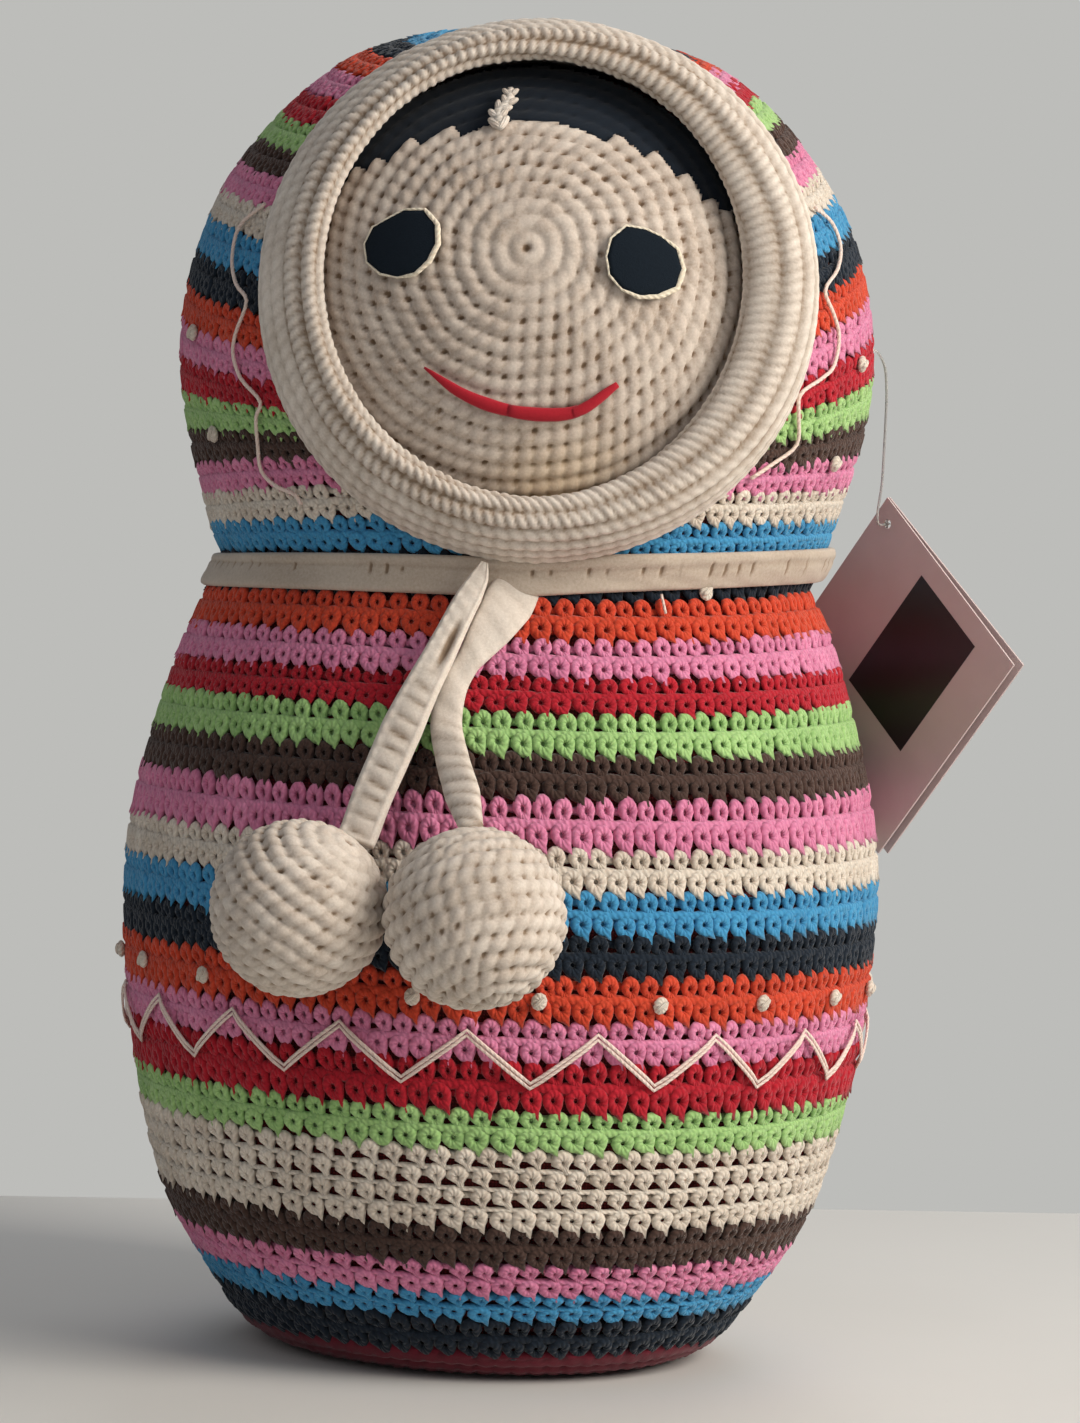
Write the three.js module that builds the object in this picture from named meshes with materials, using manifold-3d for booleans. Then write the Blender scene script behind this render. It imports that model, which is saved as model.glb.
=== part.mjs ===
// Crocheted nesting-doll soft toy: a stuffed body and head in red cotton bags, a crochet cover whose
// stripes are separate lengths of yarn, a hood with a rolled brim, a sewn face, a neck strap whose two
// ends hang in front with a stuffed ball each, and a folded swing tag on a nylon thread.
// Millimetres, +Z up, the face looks along -Y, the origin is under the middle of the base.

import * as THREE from 'three';
import { mergeVertices } from 'three/addons/utils/BufferGeometryUtils.js';
import Module from 'manifold-3d';

const wasm = await Module();
wasm.setup();

// Outline of the crochet cover: a radius at each station, and heights stacked from the floor up
const FOOT_RADIUS = 63.7;
const FOOT_HEIGHT = 6.4;
const HIP_RADIUS = 85.3;
const HIP_SHARE = 0.315;
const BELLY_RADIUS = 97.2;
const BELLY_HEIGHT = 121;
const CHEST_RADIUS = 88.2;
const CHEST_SHARE = 0.61;
const SHOULDER_RADIUS = 80.4;
const NECK_RADIUS = 76.2;
const NECK_RISE = 78;
const COLLAR_RADIUS = 79.4;
const DRAWN_IN_SHARE = 0.85;
const HEAD_RADIUS = 89.3;
const HEAD_RISE = 55;
const TEMPLE_RADIUS = 79.8;
const TEMPLE_SHARE = 0.479;
const TOP_RADIUS = 51.5;
const TOP_SHARE = 0.858;
const CAP_RADIUS = 27;
const CAP_SHARE = 0.965;
const CROWN_RISE = 85.5;

// Layers of cloth, from the outside in, and the clearance between any two neighbours
const FABRIC = 3.6;
const LINING = 1;
const GAP = 0.3;

// Flat of the base that the doll stands on
const BASE_FLAT_RADIUS = 44;

// Stripes from the foot to the strap: yarn and worked height along the cover
const BODY_STRIPES = [
  ['navy', 12.5], ['blue', 8.5], ['pink', 9.5], ['brown', 10.5], ['cream', 20.5], ['green', 9.8],
  ['red', 12.2], ['pink', 10], ['orange', 11], ['navy', 10], ['blue', 10], ['cream', 10.2],
  ['pink', 12.2], ['brown', 10.3], ['green', 10.4], ['red', 8.6], ['pink', 9.7], ['orange', 10.4],
  ['navy', 10.6],
];
// Stripes from the strap to the crown, all of one height, and the cap that closes them
const HOOD_STRIPES = [
  'blue', 'cream', 'pink', 'brown', 'green', 'red', 'pink', 'orange', 'navy', 'blue', 'cream',
  'pink', 'brown', 'green', 'red', 'pink', 'orange',
];
const HOOD_STRIPE_HEIGHT = 8.7;
const CROWN_YARN = 'blue';
// The hood's rounds dip towards the face, more so higher up
const HOOD_LEAN = THREE.MathUtils.degToRad(11);
const LEAN_START_RISE = 16;
const LEAN_SPAN = 50;

// Face: a dome set into a round opening of the hood, looking slightly up
const FACE_TILT = THREE.MathUtils.degToRad(8);
const FACE_ROLL = THREE.MathUtils.degToRad(-2.4);
const FACE_CENTRE_RISE = 4.5;
const FACE_APEX = 97;
const FACE_SPHERE = 76;
const FACE_RIM = 54.5;
const OPENING_RADIUS = 57;
const OPENING_DEPTH = 40;
const OPENING_REACH = 130;
// Middles of the eyes on the dome: side and height
const LEFT_EYE = [-30.4, 4.6];
const RIGHT_EYE = [26.3, 5.2];
const EYE_WIDTH = 18;
const EYE_TALL = 16.5;
const FELT = 1.2;
const MOUTH_HALF_WIDTH = 22.3;
const MOUTH_END_HEIGHT = -24.2;
const MOUTH_LOW = -32.5;
const MOUTH_DIAMETER = 2.8;
const HAIR_THICKNESS = 1.6;
const HAIR_CLEARANCE = 0.7;
const HAIRLINE_RADIUS = 72;
const HAIRLINE_TOP = 37.5;
const FORELOCK_SIDE = -8.8;
const FORELOCK_LENGTH = 10;
const FORELOCK_DIAMETER = 4;

// Rolled brim round the face: radius from the face's axis, and distance along it from the head's middle
const BRIM_SIDE = 2;
const BRIM_OUTER_RADIUS = 66;
const BRIM_SHOULDER_RADIUS = 63;
const BRIM_CREST_RADIUS = 57.5;
const BRIM_LIP_RADIUS = 52.2;
const BRIM_HEEL_RADIUS = 59;
const BRIM_BACK = 56;
const BRIM_WALL = 73;
const BRIM_SHOULDER = 82;
const BRIM_CREST = 86.5;
const BRIM_LIP = 84;
const BRIM_UNDERSIDE = 79.5;
const BRIM_HEEL = 77;
const BRIM_CREST_SHIFT = 3;

// Neck strap and the two ends that hang from it, each a flat crocheted strap with a ball
const STRAP_WIDTH = 10.4;
const STRAP_THICKNESS = 2.8;
const STRAP_EDGE = 1.6;
const TIE_WIDTH = 10;
const TIE_THICKNESS = 3;
const TIE_EDGE = 1.6;
const BALL_WALL = 3;
const BALL_MOUTH = 4;
// Places on the hanging ends: side, drop below the neck, and lift off the cover
const LEFT_BALL = { side: -46.5, drop: 79.5, lift: 22.2, radius: 21.2 };
const RIGHT_BALL = { side: -5, drop: 79, lift: 22.5, radius: 21.7 };
const LEFT_TIE_POINTS = [
  [-5.5, -0.5, 9.2], [-10.5, 9, 6.7], [-15.5, 18.5, 6.3], [-19.8, 27.5, 6.8],
  [-24, 36.5, 7.6], [-28, 45.5, 8.2], [-31, 53.5, 9.2], [-33.4, 61.4, 10.9],
];
const RIGHT_TIE_POINTS = [
  [1.5, -0.5, 5.3], [-3, 9, 2.5], [-8, 17.5, 2], [-13, 26, 1.9], [-14.4, 35, 2.3],
  [-12.4, 43.5, 5.4], [-9.8, 50.4, 11.4], [-7.4, 56.9, 18.2],
];

// Zigzag embroidery round the skirt
const ZIGZAG_COUNT = 19;
const ZIGZAG_LOW = 78.2;
const ZIGZAG_TALL = 12.3;
const ZIGZAG_THREAD = 1.6;
const ZIGZAG_LIFT = 0.6;

// Folded swing tag, hung by its top corner, and its nylon thread
const TAG_INSET = 5.2;
const TAG_SIDE = 42;
const TAG_DROP = 30.3;
const TAG_YAW = THREE.MathUtils.degToRad(41.3);
const TAG_SPIN = THREE.MathUtils.degToRad(-40.7);
const TAG_WIDTH = 63.8;
const TAG_LENGTH = 69;
const TAG_CARD = 0.5;
const TAG_FOLD_GAP = 0.3;
const TAG_LEAF_OPEN = THREE.MathUtils.degToRad(2.5);
const TAG_HOLE_INSET = 5;
const TAG_HOLE_RADIUS = 1.3;
const THREAD_DIAMETER = 1;
// Places on the thread: reach beyond the head's radius, and rise above the head's widest round
const THREAD_TURN = THREE.MathUtils.degToRad(15.7);
const THREAD_POINTS = [
  [0.8, 7.5], [5.2, 8], [7.9, 4.6], [9, -2], [9.2, -10], [9.2, -18], [9.1, -26.5],
];
const THREAD_RUN_IN = 4;
const THREAD_PAST_CARD = 1.5;

// Facets: round pieces about the doll's own axis all share one count, so neighbours stay clear
const ROUND = 24;
const FACE_ROUND = 24;
const BALL_ROUND = 16;
const CORD_SIDES = 8;
const OVAL_SIDES = 20;
const HOLE_SIDES = 16;
const DOME_STEPS = 7;
const BALL_STEPS = 7;
const TIE_STEPS = 12;
const MOUTH_STEPS = 10;
const FORELOCK_STEPS = 3;
const THREAD_STEPS = 26;
const PROFILE_STEP = 24;

const YARN = {
  cream: 0xd9c9b2, navy: 0x1d2733, blue: 0x4a9ccb, pink: 0xd878a8, brown: 0x45352f,
  green: 0x8cc665, red: 0xb51f2c, orange: 0xd8442a,
};
const COTTON_RED = 0x7a2a25;
const BASE_RED = 0x8a2130;
const FIBRE_WHITE = 0xeeeae2;
const CARD_PINK = 0xc9b3ae;
const NYLON_WHITE = 0xdcdad6;
const YARN_ROUGHNESS = 0.95;
const CARD_ROUGHNESS = 0.6;
const NYLON_ROUGHNESS = 0.35;

const neckHeight = BELLY_HEIGHT + NECK_RISE;
const headHeight = neckHeight + HEAD_RISE;
const crownHeight = headHeight + CROWN_RISE;
const faceCentre = headHeight + FACE_CENTRE_RISE;

// The cover's outline, as a curve of radius (x) and height (z) from the foot to the crown
const outline = new THREE.CatmullRomCurve3([
  new THREE.Vector3(FOOT_RADIUS, 0, FOOT_HEIGHT),
  new THREE.Vector3(HIP_RADIUS, 0, FOOT_HEIGHT + HIP_SHARE * (BELLY_HEIGHT - FOOT_HEIGHT)),
  new THREE.Vector3(BELLY_RADIUS, 0, BELLY_HEIGHT),
  new THREE.Vector3(CHEST_RADIUS, 0, BELLY_HEIGHT + CHEST_SHARE * NECK_RISE),
  new THREE.Vector3(SHOULDER_RADIUS, 0, neckHeight - DRAWN_IN_SHARE * STRAP_WIDTH),
  new THREE.Vector3(NECK_RADIUS, 0, neckHeight),
  new THREE.Vector3(COLLAR_RADIUS, 0, neckHeight + DRAWN_IN_SHARE * STRAP_WIDTH),
  new THREE.Vector3(HEAD_RADIUS, 0, headHeight),
  new THREE.Vector3(TEMPLE_RADIUS, 0, headHeight + TEMPLE_SHARE * CROWN_RISE),
  new THREE.Vector3(TOP_RADIUS, 0, headHeight + TOP_SHARE * CROWN_RISE),
  new THREE.Vector3(CAP_RADIUS, 0, headHeight + CAP_SHARE * CROWN_RISE),
  new THREE.Vector3(0, 0, crownHeight),
]);
outline.arcLengthDivisions = 600;
const outlineLength = outline.getLength();

// Point of the cover at a distance along its outline, moved inwards by a depth (outwards if negative)
function coverPoint(along, depth) {
  const share = THREE.MathUtils.clamp(along / outlineLength, 0, 1);
  const point = outline.getPointAt(share);
  const tangent = outline.getTangentAt(share);
  return new THREE.Vector2(Math.max(point.x - depth * tangent.z, 0), point.z + depth * tangent.x);
}

// Distance along the outline at a height of the cover
function alongAt(height) {
  let low = 0;
  let high = outlineLength;
  while (high - low > 1e-4) {
    const middle = (low + high) / 2;
    if (coverPoint(middle, 0).y < height) low = middle;
    else high = middle;
  }
  return low;
}

// Place in front of the cover at a side and a drop below the neck, lifted off the cover
function inFront(side, drop, lift) {
  const height = neckHeight - drop;
  const reach = coverPoint(alongAt(height), 0).x + lift;
  return new THREE.Vector3(side, -Math.sqrt(reach ** 2 - side ** 2), height);
}

const alongNeck = alongAt(neckHeight);
const alongStrapLow = alongAt(neckHeight - STRAP_WIDTH / 2);
const alongStrapHigh = alongAt(neckHeight + STRAP_WIDTH / 2);

// Turns the faces of a closed geometry outwards and drops triangles that have no area
function closedBody(geometry) {
  const bare = geometry.clone();
  bare.deleteAttribute('normal');
  bare.deleteAttribute('uv');
  const merged = mergeVertices(bare, 1e-3);
  const position = merged.getAttribute('position');
  const [a, b, c] = [new THREE.Vector3(), new THREE.Vector3(), new THREE.Vector3()];
  const kept = [];
  let volume = 0;
  for (let i = 0; i < merged.index.count; i += 3) {
    const corners = [0, 1, 2].map((k) => merged.index.getX(i + k));
    if (new Set(corners).size < 3) continue;
    [a, b, c].forEach((corner, k) => corner.fromBufferAttribute(position, corners[k]));
    volume += a.dot(b.cross(c)) / 6;
    kept.push(corners);
  }
  merged.setIndex(kept.flatMap(([p, q, r]) => (volume < 0 ? [p, r, q] : [p, q, r])));
  merged.computeVertexNormals();
  return merged;
}

// Joins cross-sections of equal point counts into one closed body, as a ring or with flat ends
function loft(sections, isRing) {
  const count = sections[0].length;
  const steps = isRing ? sections.length : sections.length - 1;
  const index = [];
  for (let i = 0; i < steps; i += 1) {
    const here = i * count;
    const next = ((i + 1) % sections.length) * count;
    for (let k = 0; k < count; k += 1) {
      const l = (k + 1) % count;
      index.push(here + k, here + l, next + l, here + k, next + l, next + k);
    }
  }
  if (!isRing) {
    const last = (sections.length - 1) * count;
    for (let k = 1; k < count - 1; k += 1) {
      index.push(0, k + 1, k, last, last + k, last + k + 1);
    }
  }
  const geometry = new THREE.BufferGeometry();
  const numbers = sections.flat().flatMap((point) => point.toArray());
  geometry.setAttribute('position', new THREE.Float32BufferAttribute(numbers, 3));
  geometry.setIndex(index);
  return closedBody(geometry);
}

// Body of revolution about +Z from points of radius (x) and height (y)
function revolve(points, segments) {
  const lathe = new THREE.LatheGeometry(points, segments);
  lathe.rotateX(Math.PI / 2);
  return closedBody(lathe);
}

function toSolid(geometry) {
  const body = closedBody(geometry);
  return new wasm.Manifold(new wasm.Mesh({
    numProp: 3,
    vertProperties: new Float32Array(body.getAttribute('position').array),
    triVerts: new Uint32Array(body.index.array),
  }));
}

function toGeometry(solid) {
  const mesh = solid.getMesh();
  const geometry = new THREE.BufferGeometry();
  geometry.setAttribute('position', new THREE.BufferAttribute(mesh.vertProperties, 3));
  geometry.setIndex(new THREE.BufferAttribute(mesh.triVerts, 1));
  geometry.computeVertexNormals();
  return geometry;
}

// Leans the upper hood forward about the head's middle, from nothing at the collar
function leanHood(geometry) {
  const position = geometry.getAttribute('position');
  for (let i = 0; i < position.count; i += 1) {
    const y = position.getY(i);
    const z = position.getZ(i);
    const share = THREE.MathUtils.smoothstep(z, neckHeight + LEAN_START_RISE,
      neckHeight + LEAN_START_RISE + LEAN_SPAN);
    const turn = HOOD_LEAN * share;
    const rise = z - headHeight;
    position.setY(i, y * Math.cos(turn) - rise * Math.sin(turn));
    position.setZ(i, headHeight + y * Math.sin(turn) + rise * Math.cos(turn));
  }
  return geometry;
}

const doll = new THREE.Group();

// Frame of the face: x to the doll's left-hand side as seen, y up the face, z out of it
const faceGroup = new THREE.Group();
faceGroup.position.set(0, 0, faceCentre);
faceGroup.rotation.x = Math.PI / 2 - FACE_TILT;
faceGroup.updateMatrix();
doll.add(faceGroup);
const features = new THREE.Group();
features.rotation.z = FACE_ROLL;
faceGroup.add(features);

function addPiece(parent, name, geometry, colour, roughness = YARN_ROUGHNESS) {
  const material = new THREE.MeshStandardMaterial({ color: colour, roughness, metalness: 0 });
  const mesh = new THREE.Mesh(geometry, material);
  mesh.name = name;
  parent.add(mesh);
  return mesh;
}

// Outline of a cushion under the cover, from the axis at the base up to a distance along the cover
function cushionOutline(depth, alongTop) {
  const bend = new THREE.Vector2((BASE_FLAT_RADIUS + 2 * FOOT_RADIUS) / 3, FOOT_HEIGHT / 3);
  const points = [
    new THREE.Vector2(0, depth),
    new THREE.Vector2(BASE_FLAT_RADIUS, depth),
    new THREE.Vector2(bend.x - depth / 3, bend.y + depth),
  ];
  const steps = Math.ceil(alongTop / PROFILE_STEP);
  for (let i = 0; i <= steps; i += 1) points.push(coverPoint((alongTop * i) / steps, depth));
  return points;
}

// Base: a crocheted disc, flat underneath, whose rim meets the lowest stripe
function addBase() {
  const rise = outline.getTangentAt(0);
  const back = new THREE.Vector2(rise.x, rise.z).multiplyScalar(GAP);
  const under = cushionOutline(0, PROFILE_STEP).slice(0, 3);
  const over = cushionOutline(FABRIC, PROFILE_STEP).slice(0, 3);
  const rim = [coverPoint(0, 0).sub(back), coverPoint(0, FABRIC).sub(back)];
  addPiece(doll, 'base_disc', revolve([...under, ...rim, ...over.reverse()], ROUND), BASE_RED);
}

// Stuffed body: a red cotton bag, open at the neck, and the fibre that fills it
function addBody() {
  const liningDepth = FABRIC + GAP;
  const top = alongNeck - GAP / 2;
  const outer = cushionOutline(liningDepth, top);
  const inner = cushionOutline(liningDepth + LINING, top);
  addPiece(doll, 'body_lining', revolve([...outer, ...inner.reverse()], ROUND), COTTON_RED);
  const filling = cushionOutline(liningDepth + LINING + GAP, top);
  filling.push(new THREE.Vector2(0, filling.at(-1).y));
  addPiece(doll, 'body_stuffing', revolve(filling, ROUND), FIBRE_WHITE);
}

// One stripe of the cover: a ring between two distances along the outline, drawn in under the strap
function stripeRing(low, high) {
  const drawn = [alongStrapLow, alongNeck].filter((along) => along > low + GAP && along < high - GAP);
  const stations = [low, ...drawn, high];
  const outer = stations.map((along) => coverPoint(along, 0));
  const inner = stations.map((along) => coverPoint(along, FABRIC)).reverse();
  return revolve([...outer, ...inner, outer[0]], ROUND);
}

function addBodyStripes() {
  const worked = BODY_STRIPES.reduce((sum, [, height]) => sum + height, 0);
  const scale = alongStrapHigh / worked;
  let low = 0;
  BODY_STRIPES.forEach(([yarn, height], i) => {
    const high = low + height * scale;
    const name = `body_stripe_${String(i + 1).padStart(2, '0')}_${yarn}`;
    addPiece(doll, name, stripeRing(low, high - GAP), YARN[yarn]);
    low = high;
  });
}

// Cylinder along the face's axis, in the doll's frame
function faceCylinder(radius, from, to) {
  const cylinder = new THREE.CylinderGeometry(radius, radius, to - from, FACE_ROUND);
  cylinder.rotateX(Math.PI / 2);
  cylinder.translate(0, 0, (from + to) / 2);
  return cylinder.applyMatrix4(faceGroup.matrix);
}

// Points of the face's dome from its rim to its middle, at a depth under its outer surface
function domeArc(depth, rim) {
  const radius = FACE_SPHERE - depth;
  const centre = FACE_APEX - FACE_SPHERE;
  const start = Math.asin(rim / radius);
  return Array.from({ length: DOME_STEPS + 1 }, (_, i) => {
    const angle = start * (1 - i / DOME_STEPS);
    const across = i === DOME_STEPS ? 0 : radius * Math.sin(angle);
    return new THREE.Vector2(across, centre + radius * Math.cos(angle));
  });
}

// Solid of the hood's inside at a depth under the cover, leaned as the hood is
function hoodSolid(depth, alongLow, drop, step) {
  const steps = Math.ceil((outlineLength - alongLow) / step);
  const points = [];
  for (let i = 0; i <= steps; i += 1) {
    points.push(coverPoint(alongLow + ((outlineLength - alongLow) * i) / steps, depth));
  }
  points.at(-1).x = 0;
  const floor = points[0].y - drop;
  const foot = drop > 0 ? [new THREE.Vector2(points[0].x, floor)] : [];
  return toSolid(leanHood(revolve([new THREE.Vector2(0, floor), ...foot, ...points], ROUND)));
}

// Solid of the head's cushion: the hood's inside, opened at the face and bulged there to back the dome
function headSolid(depth, drop) {
  const shrink = depth - FABRIC - GAP;
  const socket = toSolid(faceCylinder(OPENING_RADIUS - LINING + shrink, OPENING_DEPTH, OPENING_REACH));
  const rim = OPENING_RADIUS - LINING / 2 - shrink;
  const start = OPENING_DEPTH - 2 * LINING;
  const arc = domeArc(depth, rim);
  const dome = revolve([new THREE.Vector2(0, start), new THREE.Vector2(rim, start), ...arc], FACE_ROUND);
  const bulge = toSolid(dome.applyMatrix4(faceGroup.matrix));
  return hoodSolid(depth, alongNeck + GAP / 2, drop, PROFILE_STEP).subtract(socket).add(bulge);
}

// Stuffed head: a red cotton bag, open at the neck, and the fibre that fills it
function addHead() {
  const liningDepth = FABRIC + GAP;
  const lining = headSolid(liningDepth, 0).subtract(headSolid(liningDepth + LINING, LINING));
  addPiece(doll, 'head_lining', toGeometry(lining), COTTON_RED);
  const filling = headSolid(liningDepth + LINING + GAP, 0);
  addPiece(doll, 'head_stuffing', toGeometry(filling), FIBRE_WHITE);
}

function addHoodStripes() {
  const opening = toSolid(faceCylinder(OPENING_RADIUS, OPENING_DEPTH - FABRIC, OPENING_REACH));
  HOOD_STRIPES.forEach((yarn, i) => {
    const low = alongStrapHigh + i * HOOD_STRIPE_HEIGHT;
    const ring = toSolid(leanHood(stripeRing(low, low + HOOD_STRIPE_HEIGHT - GAP)));
    const name = `hood_stripe_${String(i + 1).padStart(2, '0')}_${yarn}`;
    addPiece(doll, name, toGeometry(ring.subtract(opening)), YARN[yarn]);
  });
  const low = alongStrapHigh + HOOD_STRIPES.length * HOOD_STRIPE_HEIGHT;
  const steps = Math.ceil((outlineLength - low) / PROFILE_STEP);
  const outer = [];
  const inner = [];
  for (let i = 0; i <= steps; i += 1) {
    outer.push(coverPoint(low + ((outlineLength - low) * i) / steps, 0));
    inner.push(coverPoint(low + ((outlineLength - low) * i) / steps, FABRIC));
  }
  outer.at(-1).x = 0;
  inner.at(-1).x = 0;
  const cap = toSolid(leanHood(revolve([...inner.reverse(), ...outer], ROUND)));
  addPiece(doll, 'hood_crown', toGeometry(cap.subtract(opening)), YARN[CROWN_YARN]);
}

// Neck strap: a ring that draws the cover in, thick in the middle and thin at its edges
function neckStrapSolid(grow) {
  const levels = [[alongStrapLow, STRAP_EDGE], [alongNeck, STRAP_THICKNESS], [alongStrapHigh, STRAP_EDGE]];
  const outer = levels.map(([along, thickness]) => coverPoint(along, -GAP - thickness - grow));
  const inner = levels.map(([along]) => coverPoint(along, -GAP + grow)).reverse();
  outer[0].y -= grow;
  outer[2].y += grow;
  inner[2].y -= grow;
  inner[0].y += grow;
  return revolve([...outer, ...inner, outer[0]], ROUND);
}

// Brim: a thick rolled edge that stands on the hood round the opening and rests on the neck strap
function addBrim() {
  const section = [
    [BRIM_OUTER_RADIUS, BRIM_BACK, 0],
    [BRIM_OUTER_RADIUS, BRIM_WALL, 0],
    [BRIM_SHOULDER_RADIUS, BRIM_SHOULDER, BRIM_CREST_SHIFT],
    [BRIM_CREST_RADIUS, BRIM_CREST, BRIM_CREST_SHIFT],
    [BRIM_LIP_RADIUS, BRIM_LIP, 0],
    [BRIM_LIP_RADIUS + 1, BRIM_UNDERSIDE, 0],
    [BRIM_HEEL_RADIUS, BRIM_HEEL, 0],
    [BRIM_HEEL_RADIUS, BRIM_BACK, 0],
  ];
  const sections = Array.from({ length: FACE_ROUND }, (_, i) => {
    const angle = (2 * Math.PI * i) / FACE_ROUND;
    return section.map(([radius, out, shift]) => new THREE.Vector3(
      BRIM_SIDE + shift + radius * Math.cos(angle), radius * Math.sin(angle), out));
  });
  const ring = toSolid(loft(sections, true).applyMatrix4(faceGroup.matrix));
  const seat = hoodSolid(-GAP, alongStrapLow, 0, HOOD_STRIPE_HEIGHT).add(toSolid(neckStrapSolid(GAP)));
  addPiece(doll, 'hood_brim', toGeometry(ring.subtract(seat)), YARN.cream);
}

// Height of the dome's outer surface over a point of the face, plus a lift off it
function onDome(x, y, lift) {
  const radius = FACE_SPHERE + lift;
  return new THREE.Vector3(x, y, FACE_APEX - FACE_SPHERE + Math.sqrt(radius ** 2 - x ** 2 - y ** 2));
}

// Round tube along a curve, with closed ends
function tube(curve, diameter, steps) {
  const section = new THREE.Shape();
  section.absarc(0, 0, diameter / 2, 0, 2 * Math.PI);
  const options = { steps, extrudePath: curve, curveSegments: CORD_SIDES / 2 };
  return closedBody(new THREE.ExtrudeGeometry(section, options));
}

// Face: a crocheted dome with felt eyes, a stitched mouth, crocheted hair and a forelock
function addFace() {
  const shell = revolve([...domeArc(FABRIC, FACE_RIM - FABRIC / 2).reverse(), ...domeArc(0, FACE_RIM)],
    FACE_ROUND);
  addPiece(faceGroup, 'face', shell, YARN.cream);

  const eyeOutline = new THREE.Shape();
  eyeOutline.absellipse(0, 0, EYE_WIDTH / 2, EYE_TALL / 2, 0, 2 * Math.PI);
  const cutFelt = { depth: FELT, bevelEnabled: false, curveSegments: OVAL_SIDES / 2 };
  const eye = new THREE.ExtrudeGeometry(eyeOutline, cutFelt);
  const middle = new THREE.Vector3(0, 0, FACE_APEX - FACE_SPHERE);
  [['eye_left', LEFT_EYE], ['eye_right', RIGHT_EYE]].forEach(([name, place]) => {
    const mesh = addPiece(features, name, closedBody(eye), YARN.navy);
    mesh.position.copy(onDome(...place, GAP));
    const out = mesh.position.clone().sub(middle).normalize();
    mesh.quaternion.setFromUnitVectors(new THREE.Vector3(0, 0, 1), out);
  });

  const lift = GAP + MOUTH_DIAMETER / 2;
  const bow = (MOUTH_END_HEIGHT - MOUTH_LOW) / MOUTH_HALF_WIDTH ** 2;
  const mouth = new THREE.CatmullRomCurve3([-1, -0.5, 0, 0.5, 1].map((share) => {
    const side = share * MOUTH_HALF_WIDTH;
    return onDome(side, MOUTH_LOW + bow * side ** 2, lift);
  }));
  addPiece(features, 'mouth', tube(mouth, MOUTH_DIAMETER, MOUTH_STEPS), YARN.red);

  const hairRim = BRIM_LIP_RADIUS - BRIM_SIDE - HAIR_CLEARANCE;
  const under = domeArc(-GAP, hairRim);
  const over = domeArc(-GAP - HAIR_THICKNESS, hairRim);
  const cap = toSolid(revolve([...under.reverse(), ...over], FACE_ROUND));
  const brow = new THREE.CylinderGeometry(HAIRLINE_RADIUS, HAIRLINE_RADIUS, OPENING_REACH, 2 * FACE_ROUND);
  brow.rotateX(Math.PI / 2);
  brow.translate(0, HAIRLINE_TOP - HAIRLINE_RADIUS, OPENING_REACH / 2);
  addPiece(features, 'hair', toGeometry(cap.subtract(toSolid(brow))), YARN.navy);

  const rise = GAP + HAIR_THICKNESS + GAP + FORELOCK_DIAMETER / 2;
  const lock = new THREE.CatmullRomCurve3([0, 0.5, 1].map((share) => (
    onDome(FORELOCK_SIDE, HAIRLINE_TOP - 1 + share * FORELOCK_LENGTH, rise))));
  addPiece(features, 'forelock', tube(lock, FORELOCK_DIAMETER, FORELOCK_STEPS), YARN.cream);
}

// Flat strap along hand-set points, its face turned away from the doll's axis
function tieGeometry(points) {
  const curve = new THREE.CatmullRomCurve3(points.map((place) => inFront(...place)));
  const edge = [TIE_WIDTH / 2, TIE_EDGE / 2];
  const middle = [TIE_WIDTH / 4, TIE_THICKNESS / 2];
  const quarter = [edge, middle];
  const front = [...quarter, ...quarter.map(([wide, thick]) => [-wide, thick]).reverse()];
  const corners = [...front, ...front.map(([wide, thick]) => [-wide, -thick])];
  const sections = Array.from({ length: TIE_STEPS + 1 }, (_, i) => {
    const centre = curve.getPointAt(i / TIE_STEPS);
    const along = curve.getTangentAt(i / TIE_STEPS);
    const out = new THREE.Vector3(centre.x, centre.y, 0).normalize();
    const across = new THREE.Vector3().crossVectors(along, out).normalize();
    const face = new THREE.Vector3().crossVectors(across, along);
    return corners.map(([wide, thick]) => (
      centre.clone().addScaledVector(across, wide).addScaledVector(face, thick)));
  });
  return loft(sections, false);
}

// Ball: a crocheted shell with a mouth where its tie goes in, and the fibre inside
function addBall(side, ball, points) {
  const arc = (radius, mouth) => {
    const end = Math.PI - Math.asin(mouth / radius);
    return Array.from({ length: BALL_STEPS + 1 }, (_, i) => {
      const angle = (end * i) / BALL_STEPS;
      return new THREE.Vector2(radius * Math.sin(angle), -radius * Math.cos(angle));
    });
  };
  const inside = ball.radius - BALL_WALL;
  const wall = [...arc(ball.radius, BALL_MOUTH), ...arc(inside, BALL_MOUTH).reverse()];
  const shell = revolve(wall, BALL_ROUND);
  const fibre = arc(inside - GAP, BALL_MOUTH);
  fibre.push(new THREE.Vector2(0, fibre.at(-1).y));
  const group = new THREE.Group();
  group.position.copy(inFront(ball.side, ball.drop, ball.lift));
  const up = inFront(...points.at(-1)).sub(group.position).normalize();
  group.quaternion.setFromUnitVectors(new THREE.Vector3(0, 0, 1), up);
  doll.add(group);
  addPiece(group, `ball_${side}`, shell, YARN.cream);
  addPiece(group, `ball_${side}_stuffing`, revolve(fibre, BALL_ROUND), FIBRE_WHITE);
}

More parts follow.
